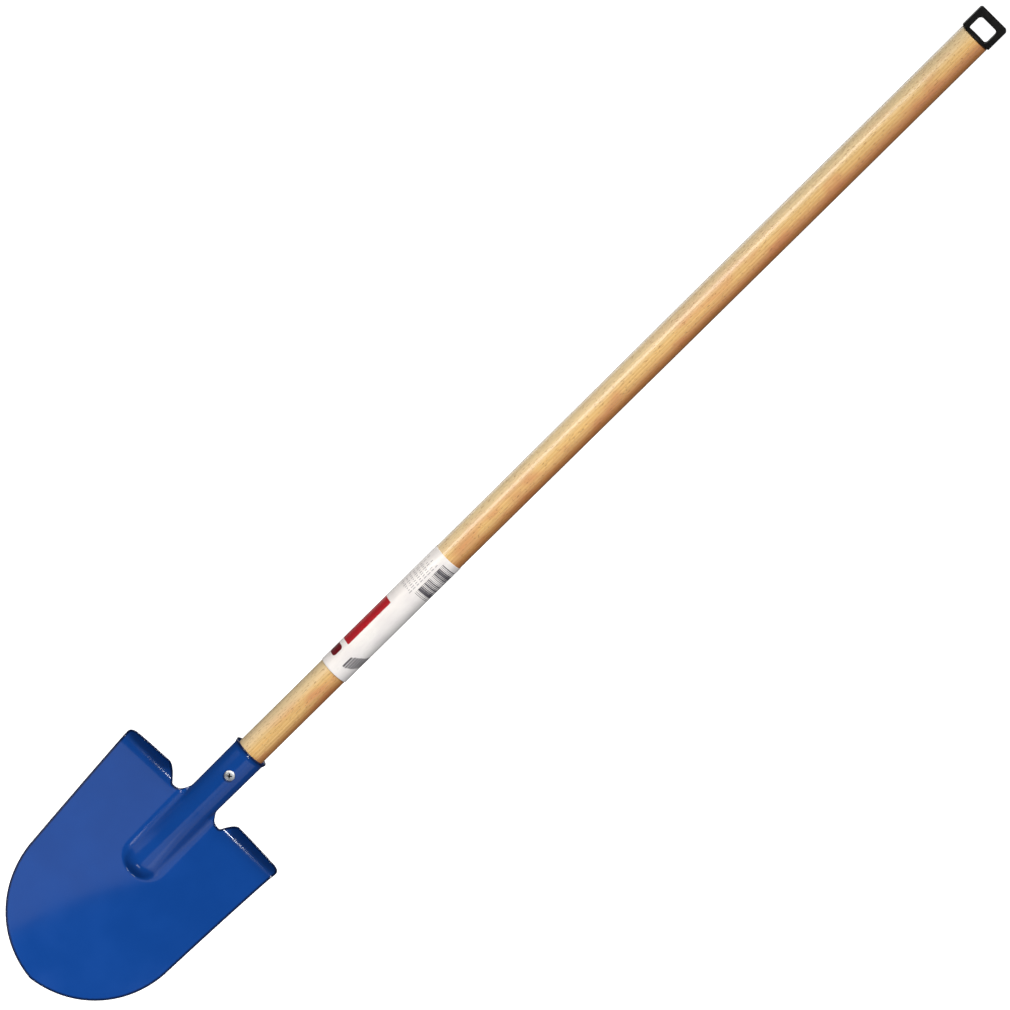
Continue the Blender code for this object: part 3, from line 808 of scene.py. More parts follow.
@dataclass
class PressedBlade:
    """Blade, frog, treads and open socket, pressed from one sheet of steel.

    A point of the flat blank has two coordinates: how far across from the middle line, and its
    height above the blade's point.
    """

    sheet: float = 0.0019
    arc_radius: float = 0.1168
    arc_offset: float = 0.012
    arc_end: float = 0.104
    top_half_width: float = 0.1152
    tread_outer: float = 0.2790
    tread_inner: float = 0.2838
    tread_outer_corner: float = 0.012
    tread_inner_left: float = 0.0585     # the left notch is cut wider than the right one
    tread_inner_right: float = 0.0488
    tread_inner_corner: float = 0.004
    notch: float = 0.2562
    notch_reach: float = 0.0365
    notch_corner: float = 0.0032
    lift_slope: float = 0.0757
    lift_curve: float = 0.718
    dish_top: float = 2.1
    dish_point: float = 4.2
    bend_start: float = 0.2380
    bend_length: float = 0.044
    bend_turn: float = radians(72.0)
    bend_blend: float = 0.008
    bend_steps: int = 12
    frog_reach: float = 0.0283
    frog_nose: float = 0.1525
    frog_nose_length: float = 0.024
    frog_foot: float = 0.165
    frog_foot_rise: float = 0.0095
    frog_crown_share: float = 0.61
    rim: float = 0.3446
    neck: float = 0.277
    closed: float = 0.300
    roll_ease: float = 2.5
    rim_radius: float = 0.0206
    neck_radius: float = 0.0201
    flare: float = 0.0015
    flare_length: float = 0.006
    seam: float = 0.003
    rim_corner: float = 0.002
    screw_height: float = 0.3118
    screw_hole: float = 0.0026
    outline_step: float = 0.0017
    wing_step: float = 0.0026
    upper_step: float = 0.0017
    strap_squeeze: float = 0.55      # rolling stretches the strap's rows, so they start out closer
    hole_sides: int = 24
    fine_from: float = 0.138
    corner_segments: int = 10
    rim_segments: int = 8

    def __post_init__(self) -> None:
        """Find the level of the blade's point from the CAD blade's rim."""
        self.point_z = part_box("blade")[1].z - self.rim

    def wing_forward(self, across: float, height: float) -> float:
        """How far in front of the handle's axis the dished sheet lies."""
        below = self.notch - height
        middle = self.lift_slope * below + self.lift_curve * max(0.0, below) ** 2
        curve = between(self.dish_point, self.dish_top, height / self.notch)
        return middle + 0.5 * curve * across * across

    def side_half_width(self, height: float) -> float:
        """Half the blade's width at a height within its round end."""
        centre = sqrt(self.arc_radius ** 2 - self.arc_offset ** 2)
        return sqrt(self.arc_radius ** 2 - (centre - height) ** 2) - self.arc_offset

    def socket_radius(self, height: float) -> float:
        """Middle radius of the rolled socket's sheet."""
        share = (height - self.neck) / (self.rim - self.neck)
        plain = between(self.neck_radius, self.rim_radius, min(1.0, max(0.0, share)))
        flare = smooth((height - self.rim + self.flare_length) / self.flare_length)
        return plain + self.flare * flare - 0.5 * self.sheet

    def frog_size(self, height: float) -> tuple[float, float]:
        """Half width and rise of the frog at a height below the notches."""
        depth = (self.frog_nose + self.frog_nose_length - height) / self.frog_nose_length
        depth = min(1.0, max(0.0, depth))
        top_rise = self.socket_radius(self.notch) - self.wing_forward(self.frog_reach, self.notch)
        share = (height - self.frog_foot) / (self.notch - self.frog_foot)
        rise = between(self.frog_foot_rise, top_rise, max(0.0, share)) * smooth(1.0 - depth * depth)
        return self.frog_reach * sqrt(1.0 - depth * depth), rise

    def hat_section(self, share: float, half_width: float, rise: float) -> tuple[float, float]:
        """(across, drop) of a point on a round crown that runs out through a fillet."""
        turn = 2.0 * atan2(rise, half_width)
        radii = half_width / sin(turn)
        crown = self.frog_crown_share * radii
        fillet = radii - crown
        length = share * turn * radii
        if length <= crown * turn:
            angle = length / crown
            return crown * sin(angle), crown * (1.0 - cos(angle))
        angle = turn - (length - crown * turn) / fillet
        return half_width - fillet * sin(angle), rise - fillet * (1.0 - cos(angle))

    def strap_point(self, across: float, height: float) -> tuple[float, float]:
        """(across, forward) of the strap above the notches, as it rolls from frog into socket."""
        share = min(1.0, across / self.frog_reach)
        radius = self.socket_radius(height)
        half_width, rise = self.frog_size(self.notch)
        hat_across, hat_drop = self.hat_section(share, half_width, rise)
        turn = 2.0 * atan2(rise, half_width)
        closing = smooth((height - self.notch) / (self.closed - self.notch))
        wrap = between(turn * half_width / sin(turn), pi * radius - 0.5 * self.seam, closing)
        angle = share * wrap / radius
        to_neck = max(0.0, (self.neck - height) / (self.neck - self.notch))
        rolled = 1.0 - to_neck ** self.roll_ease
        reach = between(hat_across, radius * sin(angle), rolled)
        drop = between(hat_drop, radius * (1.0 - cos(angle)), rolled)
        return reach, radius - drop

    def tread_bend(self, length: float) -> tuple[float, float]:
        """(rise, forward) after a length of sheet past the start of the tread's roll."""
        step = length / self.bend_steps
        turns = [self.bend_turn * ((index + 0.5) * step / self.bend_length) ** 2
                 for index in range(self.bend_steps)]
        return step * sum(cos(turn) for turn in turns), step * sum(sin(turn) for turn in turns)

    def pressed(self, point: Vector) -> Vector:
        """Place of a point of the flat blank on the pressed sheet's middle surface.

        Args:
            point: (across, height) on the blank.

        Returns:
            The place in the tool's frame.
        """
        side = -1.0 if point.x < 0.0 else 1.0
        reach = abs(point.x)
        height = point.y
        drawn_in = 0.0
        drawn_back = 0.0
        if height > self.notch:
            edge, edge_forward = self.strap_point(min(reach, self.frog_reach), height)
            if reach < self.frog_reach + FLAT_TOLERANCE:
                return Vector((side * edge, -edge_forward, self.point_z + height))
            hold = 1.0 - smooth((reach - self.frog_reach) / self.bend_blend)
            drawn_in = (self.frog_reach - edge) * hold
            drawn_back = (self.wing_forward(self.frog_reach, height) - edge_forward) * hold
        half_width, rise = self.frog_size(min(height, self.notch))
        if reach < half_width and rise > 0.0:
            base = self.wing_forward(half_width, height)
            reach, drop = self.hat_section(reach / half_width, half_width, rise)
            return Vector((side * reach, -(base + rise - drop), self.point_z + height))
        lift = 0.0
        if height > self.bend_start:
            length = height - self.bend_start
            bend_rise, bend_forward = self.tread_bend(length)
            fade = smooth((reach - self.frog_reach) / self.bend_blend)
            height = self.bend_start + between(length, bend_rise, fade)
            lift = bend_forward * fade
        forward = self.wing_forward(reach, height) + lift - drawn_back
        return Vector((side * (reach - drawn_in), -forward, self.point_z + height))

    def half_outline(self, tread_inner: float) -> list[Vector]:
        """Right half of the blank's outline, from the point up to the socket's rim.

        Args:
            tread_inner: how far from the middle line the tread's inner end lies.

        Returns:
            The outline's points.
        """
        centre = sqrt(self.arc_radius ** 2 - self.arc_offset ** 2)
        first = asin(self.arc_offset / self.arc_radius)
        last = acos((centre - self.arc_end) / self.arc_radius)
        steps = ceil(self.arc_radius * (last - first) / self.outline_step)
        points = []
        for index in range(steps):
            angle = between(first, last, index / steps)
            points.append(Vector((self.arc_radius * sin(angle) - self.arc_offset,
                                  centre - self.arc_radius * cos(angle))))
        corners = [Vector((self.side_half_width(self.arc_end), self.arc_end)),
                   Vector((self.top_half_width, self.tread_outer)),
                   Vector((tread_inner, self.tread_inner)),
                   Vector((self.notch_reach, self.notch)),
                   Vector((self.frog_reach, self.notch)),
                   Vector((self.frog_reach, self.rim)),
                   Vector((0.0, self.rim))]
        radii = (self.tread_outer_corner, self.tread_inner_corner, self.notch_corner, self.notch_corner,
                 self.rim_corner)
        start = corners[0]
        for index, radius in enumerate(radii, 1):
            arc = rounded_corner(corners[index - 1], corners[index], corners[index + 1], radius,
                                 self.corner_segments)
            points += spaced_line(start, arc[0], self.outline_step) + arc[:-1]
            start = arc[-1]
        return points + spaced_line(start, corners[-1], 0.5 * self.outline_step) + corners[-1:]

    def inset_loop(self, loop: Sequence[Vector]) -> list[Vector]:
        """Draw a loop in by half the sheet's thickness, measured on the pressed sheet.

        Args:
            loop: the blank's outline, anticlockwise, or a hole's, clockwise.

        Returns:
            The loop that the rounded edge starts from.
        """
        drawn = []
        for index, point in enumerate(loop):
            away = outward(loop, index)
            probe = 0.1 * self.sheet
            stretch = (self.pressed(point) - self.pressed(point - away * probe)).length / probe
            drawn.append(point - away * (0.5 * self.sheet / stretch))
        return drawn

    def blank(self) -> tuple[list[Vector], list[tuple[int, ...]], list[list[int]]]:
        """The flat blank, filled with triangles that are finer where the sheet bends.

        Returns:
            Its points, triangles and edge loops.
        """
        right = self.half_outline(self.tread_inner_right)
        mirrored = reversed(self.half_outline(self.tread_inner_left)[1:-1])
        left = [Vector((-point.x, point.y)) for point in mirrored]
        stretch = (pi * self.socket_radius(self.screw_height) - 0.5 * self.seam) / self.frog_reach
        hole = []
        for index in range(self.hole_sides):
            angle = -2.0 * pi * index / self.hole_sides
            hole.append(Vector((self.screw_hole * cos(angle) / stretch,
                                self.screw_height + self.screw_hole * sin(angle))))
        side = self.top_half_width
        inner = lattice(-side, side, self.wing_step, self.fine_from, self.wing_step)
        upper = lattice(-side, side, self.fine_from, self.tread_inner, self.upper_step)
        inner += [point for point in upper if point.y < self.notch or abs(point.x) > self.frog_reach]
        strap = lattice(-self.frog_reach, self.frog_reach, self.notch, self.rim, self.upper_step,
                        self.strap_squeeze)
        inner += [point for point in strap if abs(point.x) < self.frog_reach]
        clear = self.screw_hole + 0.5 * self.sheet
        inner = [point for point in inner
                 if hypot(point.x * stretch, point.y - self.screw_height) > clear]
        loops = [self.inset_loop(right + left), self.inset_loop(hole)]
        return filled(loops, inner, 0.5 * self.upper_step)

    def build(self) -> bpy.types.Object:
        """Press the blank and give it its thickness and rounded edges.

        Returns:
            The blade.
        """
        flat, triangles, loops = self.blank()
        middle = mesh_from("blade middle surface", [self.pressed(point) for point in flat], [],
                           triangles)
        places = [vertex.co.copy() for vertex in middle.vertices]
        normals = [normal.vector.copy() for normal in middle.vertex_normals]
        bpy.data.meshes.remove(middle)
        half = 0.5 * self.sheet
        count = len(places)
        points = [place + normal * half for place, normal in zip(places, normals)]
        points += [place - normal * half for place, normal in zip(places, normals)]
        faces = list(triangles)
        faces += [tuple(count + index for index in reversed(face)) for face in triangles]
        for loop in loops:
            rings = [loop]
            for segment in range(1, self.rim_segments):
                angle = pi * segment / self.rim_segments
                rings.append(list(range(len(points), len(points) + len(loop))))
                for step, index in enumerate(loop):
                    run = places[loop[(step + 1) % len(loop)]] - places[loop[step - 1]]
                    away = run.cross(normals[index]).normalized()
                    turned = normals[index] * cos(angle) + away * sin(angle)
                    points.append(places[index] + turned * half)
            rings.append([count + index for index in loop])
            for ring, following in zip(rings, rings[1:]):
                for step in range(len(loop)):
                    after = (step + 1) % len(loop)
                    faces.append((ring[step], following[step], following[after], ring[after]))
        mesh = mesh_from("pressed_blade", points, [], faces)
        mesh.shade_smooth()
        self.mark_edge_reach(mesh, places, loops)
        return add_piece("pressed_blade", mesh)

    def mark_edge_reach(self, mesh: bpy.types.Mesh, places: Sequence[Vector],
                        loops: Sequence[Sequence[int]]) -> None:
        """Store how far each vertex lies from the sheet's nearest edge.

        Args:
            mesh: the blade's mesh.
            places: the middle surface's points.
            loops: its edge loops as indices of those points.
        """
        rim = [places[index] for loop in loops for index in loop]
        near = KDTree(len(rim))
        for index, place in enumerate(rim):
            near.insert(place, index)
        near.balance()
        reach = mesh.attributes.new("edge_reach", "FLOAT", "POINT")
        half = 0.5 * self.sheet
        for index, vertex in enumerate(mesh.vertices):
            distance = near.find(vertex.co)[2]
            reach.data[index].value = max(0.0, distance - half)

    def make(self) -> None:
        """Build the blade and dress it."""
        blade = self.build()
        blade.data.materials.append(StovedEnamel().make())
        hand_over(blade, "blade")


# ---------------------------------------------------------------- turned pieces

@dataclass
class TurnedHandle:
    """Long wooden handle, turned to a slow taper, with the bore for the cap's spigot."""

    turning: bpy.types.NodeTree
    end_height: float = 0.238
    end_radius: float = 0.0136
    taper_height: float = 0.274
    taper_radius: float = 0.0172
    socket_height: float = 0.345
    socket_radius: float = 0.0175
    grip_height: float = 1.300
    grip_radius: float = 0.0185
    bevel: float = 0.0015
    bore_radius: float = 0.0065
    bore_depth: float = 0.033
    row_step: float = 0.020
    bevel_steps: int = 5
    sides: int = 96

    def __post_init__(self) -> None:
        """Find the level of the blade's point from the CAD handle's lower end."""
        low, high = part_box("handle")
        self.point_z = low.z - self.end_height
        self.top = high.z - self.point_z

    def radius(self, height: float) -> float:
        """The handle's radius at a height above its hidden taper."""
        if height <= self.socket_height:
            share = (height - self.taper_height) / (self.socket_height - self.taper_height)
            return between(self.taper_radius, self.socket_radius, share)
        share = (height - self.socket_height) / (self.grip_height - self.socket_height)
        return between(self.socket_radius, self.grip_radius, smooth(share))

    def eased_edge(self, radius: float, height: float, upper: bool) -> list[tuple[float, float]]:
        """Quarter round that eases an end's outer edge, from the side to the end face."""
        side = self.bevel if upper else -self.bevel
        points = []
        for step in range(self.bevel_steps + 1):
            angle = 0.5 * pi * step / self.bevel_steps
            points.append((radius - self.bevel * (1.0 - cos(angle)), height - side * (1.0 - sin(angle))))
        return points

    def section(self) -> list[tuple[float, float]]:
        """The handle's half section, from the lower end's middle up its side and down into the bore."""
        points = [(0.0, self.end_height)]
        points += reversed(self.eased_edge(self.end_radius, self.end_height, False))
        rows = ceil((self.top - self.bevel - self.taper_height) / self.row_step)
        for row in range(rows):
            height = between(self.taper_height, self.top - self.bevel, row / rows)
            points.append((self.radius(height), height))
        points += self.eased_edge(self.radius(self.top), self.top, True)
        floor = self.top - self.bore_depth
        return points + [(self.bore_radius, self.top), (self.bore_radius, floor), (0.0, floor)]

    def make(self) -> None:
        """Turn the handle and dress it."""
        handle = turned_piece("turned_handle", self.section(), self.point_z, self.sides, self.turning,
                              LacqueredBeech().make())
        settle(handle)
        hand_over(handle, "handle")


def turned_piece(name: str, section: Sequence[tuple[float, float]], shift: float, sides: int,
                 tree: bpy.types.NodeTree, material: bpy.types.Material) -> bpy.types.Object:
    """Make an object that Geometry Nodes turn from its half section.

    Args:
        name: the piece's name.
        section: (radius, height) points, with the solid on their left.
        shift: what is added to each height to give z.
        sides: how many sides the turned shape has.
        tree: the turning tree.
        material: the piece's material.

    Returns:
        The object, with the modifier still on it.
    """
    points = [(radius, 0.0, height + shift) for radius, height in section]
    edges = [(index, index + 1) for index in range(len(points) - 1)]
    piece = add_piece(name, mesh_from(name, points, edges, []))
    run_tree(piece, tree, {"Sides": sides, "Material": material})
    return piece


# ---------------------------------------------------------------- screw

@dataclass
class SocketScrew:
    """Cross-recessed pan head wood screw that holds the socket to the handle."""

    turning: bpy.types.NodeTree
    winding: bpy.types.NodeTree
    head_radius: float = 0.0062
    head_thickness: float = 0.0026
    head_side: float = 0.0008
    shank_radius: float = 0.0017
    shank_length: float = 0.024
    point_length: float = 0.005
    seat_edge: float = 0.0002
    recess_span: float = 0.0068
    recess_floor_span: float = 0.0040
    recess_width: float = 0.0017
    recess_floor_share: float = 0.7      # its floor's width as a share of its width
    recess_depth: float = 0.0019
    recess_turn: float = 38.0            # degrees
    cutter_rise: float = 0.0005
    recess_shade_depth: float = 0.0006          # how far down the recess the painted shade is at its darkest
    recess_shade_reach: float = 0.7             # how far out it lies, as a share of the head's radius
    thread_pitch: float = 0.0016
    thread_ridge: float = 0.0004
    sides: int = 64
    arc_steps: int = 14

    def __post_init__(self) -> None:
        """Find the head's seat from the CAD screw's box."""
        low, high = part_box("socket_screw")
        self.seat_y = low.y + self.head_thickness
        self.height_z = 0.5 * (low.z + high.z)

    def section(self) -> list[tuple[float, float]]:
        """Half section from the point, at negative heights, up to the crown of the head."""
        points = [(0.0, -self.shank_length), (self.shank_radius, self.point_length - self.shank_length),
                  (self.shank_radius, 0.0), (self.head_radius - self.seat_edge, 0.0),
                  (self.head_radius, self.seat_edge)]
        rise = self.head_thickness - self.head_side
        for step in range(self.arc_steps + 1):
            angle = 0.5 * pi * step / self.arc_steps
            points.append((self.head_radius * cos(angle), self.head_side + rise * sin(angle)))
        return points

    def cross_cutter(self) -> bpy.types.Object:
        """Cutter for the recess: two crossed blades that narrow towards its floor."""
        shape = bmesh.new()
        for turn in (0.0, 90.0):
            made = bmesh.ops.create_cube(shape, size=1.0)["verts"]
            for vertex in made:
                upper = vertex.co.z > 0.0
                vertex.co.x *= self.recess_span if upper else self.recess_floor_span
                vertex.co.y *= self.recess_width * (1.0 if upper else self.recess_floor_share)
                vertex.co.z = self.head_thickness + (self.cutter_rise if upper else -self.recess_depth)
            bmesh.ops.rotate(shape, verts=made, matrix=Matrix.Rotation(radians(turn), 3, "Z"))
        mesh = bpy.data.meshes.new("cross recess cutter")
        shape.to_mesh(mesh)
        shape.free()
        return add_piece("cross recess cutter", mesh)

    def mark_recess_shade(self, mesh: bpy.types.Mesh) -> None:
        """Store how much painted shade each vertex down in the recess gets."""
        # painted shade: the deeper a vertex lies in the recess, the darker it is painted
        recess = mesh.attributes.new("recess", "FLOAT", "POINT")
        rise = self.head_thickness - self.head_side
        for index, vertex in enumerate(mesh.vertices):
            share = min(1.0, hypot(vertex.co.x, vertex.co.y) / self.head_radius)
            crown = self.head_side + rise * sqrt(1.0 - share * share)
            inside = share < self.recess_shade_reach and vertex.co.z > 0.0
            depth = crown - vertex.co.z
            recess.data[index].value = smooth(depth / self.recess_shade_depth) if inside else 0.0

    def put_in_place(self, piece: bpy.types.Object, spin: float) -> None:
        """Turn a piece's mesh to face the front and move it to the screw's seat."""
        turned = Matrix.Rotation(radians(90.0), 4, "X") @ Matrix.Rotation(radians(spin), 4, "Z")
        piece.data.transform(Matrix.Translation((0.0, self.seat_y, self.height_z)) @ turned)

    def make(self) -> None:
        """Turn the screw, cut its recess, wind its thread and dress it."""
        plate = ZincPlate().make()
        screw = turned_piece("pan_head_screw", self.section(), 0.0, self.sides, self.turning, plate)
        cutter = self.cross_cutter()
        cut = screw.modifiers.new("cross recess", "BOOLEAN")
        cut.object = cutter
        cut.use_self = True
        settle(screw)
        bpy.data.objects.remove(cutter)
        self.mark_recess_shade(screw.data)
        self.put_in_place(screw, self.recess_turn)
        hand_over(screw, "socket_screw")
        length = self.shank_length - self.point_length - 4.0 * self.thread_ridge
        thread = add_piece("screw_thread", bpy.data.meshes.new("screw_thread"))
        run_tree(thread, self.winding, {
            "Turns": length / self.thread_pitch, "Radius": self.shank_radius, "Length": length,
            "Ridge": self.thread_ridge, "Material": plate})
        settle(thread)
        thread.data.transform(Matrix.Translation((0.0, 0.0, self.point_length - self.shank_length)))
        self.put_in_place(thread, 0.0)
        hand_over(thread)


# ---------------------------------------------------------------- hang loop cap

@dataclass
class HangLoopCap:
    """Moulded end cap: a square loop to hang the tool by, on a round base with a barbed spigot."""

    turning: bpy.types.NodeTree
    base_thickness: float = 0.0018
    base_bevel: float = 0.0006
    loop_depth: float = 0.0130
    outer_corner: float = 0.0030
    edge_round: float = 0.0011
    opening_width: float = 0.0258
    opening_corner: float = 0.0045
    spigot_length: float = 0.030
    spigot_radius: float = 0.0050
    rib_radius: float = 0.0061
    ribs: int = 4
    rib_crest: float = 0.4               # where a rib's crest and foot lie, as shares of the
    rib_foot: float = 0.5                # ribs' spacing
    sunk_share: float = 0.3              # how far up the base the loop's foot starts
    bevel_steps: int = 4
    corner_segments: int = 10
    sides: int = 96

    def __post_init__(self) -> None:
        """Find the base's level and sizes from the CAD cap's box."""
        low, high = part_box("hang_loop_cap")
        self.top = high.z
        self.base = low.z + self.spigot_length
        self.loop_width = high.x - low.x
        self.base_radius = 0.5 * (high.y - low.y)

    def section(self) -> list[tuple[float, float]]:
        """Half section of spigot and base, from the spigot's end up to the base's top."""
        pitch = self.spigot_length / (self.ribs + 1)
        points = [(0.0, -self.spigot_length), (0.8 * self.spigot_radius, -self.spigot_length)]
        for rib in range(self.ribs, 0, -1):
            height = -rib * pitch
            points += [(self.spigot_radius, height), (self.rib_radius, height + self.rib_crest * pitch),
                       (self.spigot_radius, height + self.rib_foot * pitch)]
        points += [(self.spigot_radius, 0.0), (self.base_radius, 0.0)]
        for step in range(self.bevel_steps + 1):
            angle = 0.5 * pi * step / self.bevel_steps
            points.append((self.base_radius - self.base_bevel * (1.0 - cos(angle)),
                           self.base_thickness - self.base_bevel * (1.0 - sin(angle))))
        return points + [(0.0, self.base_thickness)]

    def loop_mesh(self) -> bpy.types.Mesh:
        """The flat loop, extruded through its depth."""
        half = 0.5 * self.loop_width
        low = self.base + self.sunk_share * self.base_thickness
        outer = rounded_outline(rectangle(-half, half, low, self.top), (0.0, 0.0, self.outer_corner,
                                self.outer_corner), 1.0, self.corner_segments)
        half = 0.5 * self.opening_width
        opening = rounded_outline(rectangle(-half, half, self.base + self.base_thickness, 0.0),
                                  (self.opening_corner,) * 4, 1.0, self.corner_segments)
        shape = bmesh.new()
        edges = []
        for outline in (outer, opening):
            ring = [shape.verts.new((point.x, -0.5 * self.loop_depth, point.y)) for point in outline]
            edges += [shape.edges.new(pair) for pair in zip(ring, ring[1:] + ring[:1])]
        bmesh.ops.triangle_fill(shape, edges=edges, use_beauty=True)
        grown = bmesh.ops.extrude_face_region(shape, geom=shape.faces[:])["geom"]
        moved = [item for item in grown if isinstance(item, bmesh.types.BMVert)]
        bmesh.ops.translate(shape, verts=moved, vec=(0.0, self.loop_depth, 0.0))
        bmesh.ops.recalc_face_normals(shape, faces=shape.faces[:])
        mesh = bpy.data.meshes.new("moulded_hang_loop")
        shape.to_mesh(mesh)
        shape.free()
        return mesh

    def make(self) -> None:
        """Mould the cap in one piece and dress it."""
        plastic = MouldedPolypropylene().make()
        base = turned_piece("cap base", self.section(), self.base, self.sides, self.turning, plastic)
        settle(base)
        loop = add_piece("moulded_hang_loop", self.loop_mesh())
        loop.data.materials.append(plastic)
        soften = loop.modifiers.new("moulded edges", "BEVEL")
        soften.width = self.edge_round
        soften.segments = 4
        soften.limit_method = "ANGLE"
        soften.angle_limit = radians(60.0)
        join = loop.modifiers.new("one moulding", "BOOLEAN")
        join.operation = "UNION"
        join.object = base
        settle(loop, 28.0)
        bpy.data.objects.remove(base)
        hand_over(loop, "hang_loop_cap")


# ---------------------------------------------------------------- label

@dataclass(frozen=True)
class PrintedBars:
    """A row of printed bars: its sizes in metres and its place on the label.

    The turn of the first bar's middle is in degrees round the handle, and the height is above the
    film's lower edge. A bar and the step to the next one have a part round the handle and one up it.
    The random widths scale a bar between the smallest and largest, along x, y and z.
    """

    turn: float
    height: float
    bar: tuple[float, float]
    pitch: tuple[float, float]
    count: int
    thinnest: tuple[float, float, float]
    thickest: tuple[float, float, float]
    seed: int


@dataclass
class WrapLabel:
    """Printed film wrapped round the handle, with its print as raised ink.

    Print is placed by turn, in degrees round the handle from its front towards the right, and by
    height above the film's lower edge.
    """

    turning: bpy.types.NodeTree
    wrapping: bpy.types.NodeTree
    laying: bpy.types.NodeTree
    film: float = 0.0003
    edge_fade: float = 0.0002
    ink: float = 0.00003
    sides: int = 128
    overlap: float = 0.009
    overlap_turn: float = 176.0
    overlap_corner: float = 0.0004
    overlap_film: float = 0.0001
    red_turns: tuple[float, float] = (-102.0, -34.3)
    red_heights: tuple[float, float] = (0.0346, 0.1017)
    red_corner: float = 0.0012
    maroon_turns: tuple[float, float] = (-84.0, -41.0)
    maroon_heights: tuple[float, float] = (0.0134, 0.0279)
    maroon_corner: float = 0.0035
    lines: int = 7
    line_pitch: float = 8.5              # degrees from one line of dashes to the next
    patch_step: float = 0.0012
    corner_segments: int = 6

    def __post_init__(self) -> None:
        """Find the film's ends and radius from the CAD label's box."""
        low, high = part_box("handle_label")
        self.low = low.z
        self.high = high.z
        self.radius = 0.5 * (high.x - low.x)

    def sleeve(self, film: bpy.types.Material) -> None:
        """Turn the film's sleeve, which follows the handle's taper."""
        inner = self.radius - self.film
        section = [(inner, self.low), (self.radius - self.edge_fade, self.low),
                   (self.radius, self.low + self.edge_fade), (self.radius, self.high - self.edge_fade),
                   (self.radius - self.edge_fade, self.high), (inner, self.high), (inner, self.low)]
        sleeve = turned_piece("label_film", section, 0.0, self.sides, self.turning, film)
        settle(sleeve)
        hand_over(sleeve, "handle_label")

    def patch(self, name: str, turns: tuple[float, float], heights: tuple[float, float], corner: float,
              material: bpy.types.Material, thickness: float) -> None:
        """Print one flat patch with rounded corners and wrap it on the film.

        Args:
            name: the piece's name.
            turns: its two sides in degrees round the handle.
            heights: its lower and upper end above the film's lower edge.
            corner: its corners' radius.
            material: its ink or film.
            thickness: how far it stands off the film.
        """
        left, right = (radians(turn) * self.radius for turn in turns)
        low, high = (self.low + height for height in heights)
        outline = rounded_outline(rectangle(left, right, low, high), (corner,) * 4, self.patch_step,
                                  self.corner_segments)
        inner = lattice(left, right, low, high, self.patch_step)
        inner = [point for point in inner if left < point.x < right and low < point.y < high]
        flat, triangles, loops = filled([outline], inner, 0.5 * self.patch_step)
        count = len(flat)
        points = [(point.x, depth, point.y) for depth in (thickness, 0.0) for point in flat]
        faces = list(triangles)
        faces += [tuple(count + index for index in reversed(face)) for face in triangles]
        ring = loops[0]
        for index, after in zip(ring, ring[1:] + ring[:1]):
            faces.append((index, count + index, count + after, after))
        piece = add_piece(name, mesh_from(name, points, [], faces))
        run_tree(piece, self.wrapping, {"Radius": self.radius, "Material": material})
        settle(piece, 60.0)
        hand_over(piece)

    def bars(self, name: str, row: PrintedBars, material: bpy.types.Material) -> None:
        """Print a row of bars and wrap it on the film.

        Args:
            name: the piece's name.
            row: the bars.
            material: the ink.
        """
        piece = add_piece(name, bpy.data.meshes.new(name))
        run_tree(piece, self.laying, {
            "Count": row.count, "Pitch": (row.pitch[0], 0.0, row.pitch[1]),
            "Start": (radians(row.turn) * self.radius, 0.5 * self.ink, self.low + row.height),
            "Bar": (row.bar[0], self.ink, row.bar[1]), "Thinnest": row.thinnest,
            "Thickest": row.thickest, "Seed": row.seed, "Material": material})
        run_tree(piece, self.wrapping, {"Radius": self.radius, "Material": material})
        settle(piece, 60.0)
        hand_over(piece)

    def make(self) -> None:
        """Wrap the film and print it."""
        film = PrintedFilm().make()
        red = PrintedFilm("red ink on label film", "B3202B", "A51A26").make()
        maroon = PrintedFilm("maroon ink on label film", "6C1420", "5E101B").make()
        grey = PrintedFilm("grey ink on label film", "5C5A62", "524F57").make()
        pale = PrintedFilm("pale grey ink on label film", "A2A0A8", "97959E").make()
        self.sleeve(film)
        seam = self.overlap_turn
        turns = (seam, seam + self.overlap / self.radius * 180.0 / pi)
        self.patch("label_overlap", turns, (0.0, self.high - self.low), self.overlap_corner, film,
                   self.overlap_film)
        self.patch("label_red_block", self.red_turns, self.red_heights, self.red_corner, red, self.ink)
        self.patch("label_maroon_block", self.maroon_turns, self.maroon_heights, self.maroon_corner,
                   maroon, self.ink)
        self.bars("label_bars", PrintedBars(
            35.0, 0.1290, (0.0222, 0.0017), (0.0, 0.0019), 24,
            (1.0, 1.0, 0.10), (1.0, 1.0, 1.20), 7), grey)
        for line in range(self.lines):
            self.bars(f"label_line_{line + 1}", PrintedBars(
                -12.0 - self.line_pitch * line, 0.1262, (0.0008, 0.0042), (0.0, 0.0058), 8 - line % 3,
                (1.0, 1.0, 0.45), (1.0, 1.0, 1.15), 20 + line), pale)
        self.bars("label_hatch", PrintedBars(
            8.0, 0.0205, (0.0024, 0.0165), (0.0029, 0.0016), 8,
            (0.75, 1.0, 0.8), (1.05, 1.0, 1.05), 3), grey)


# ---------------------------------------------------------------- studio

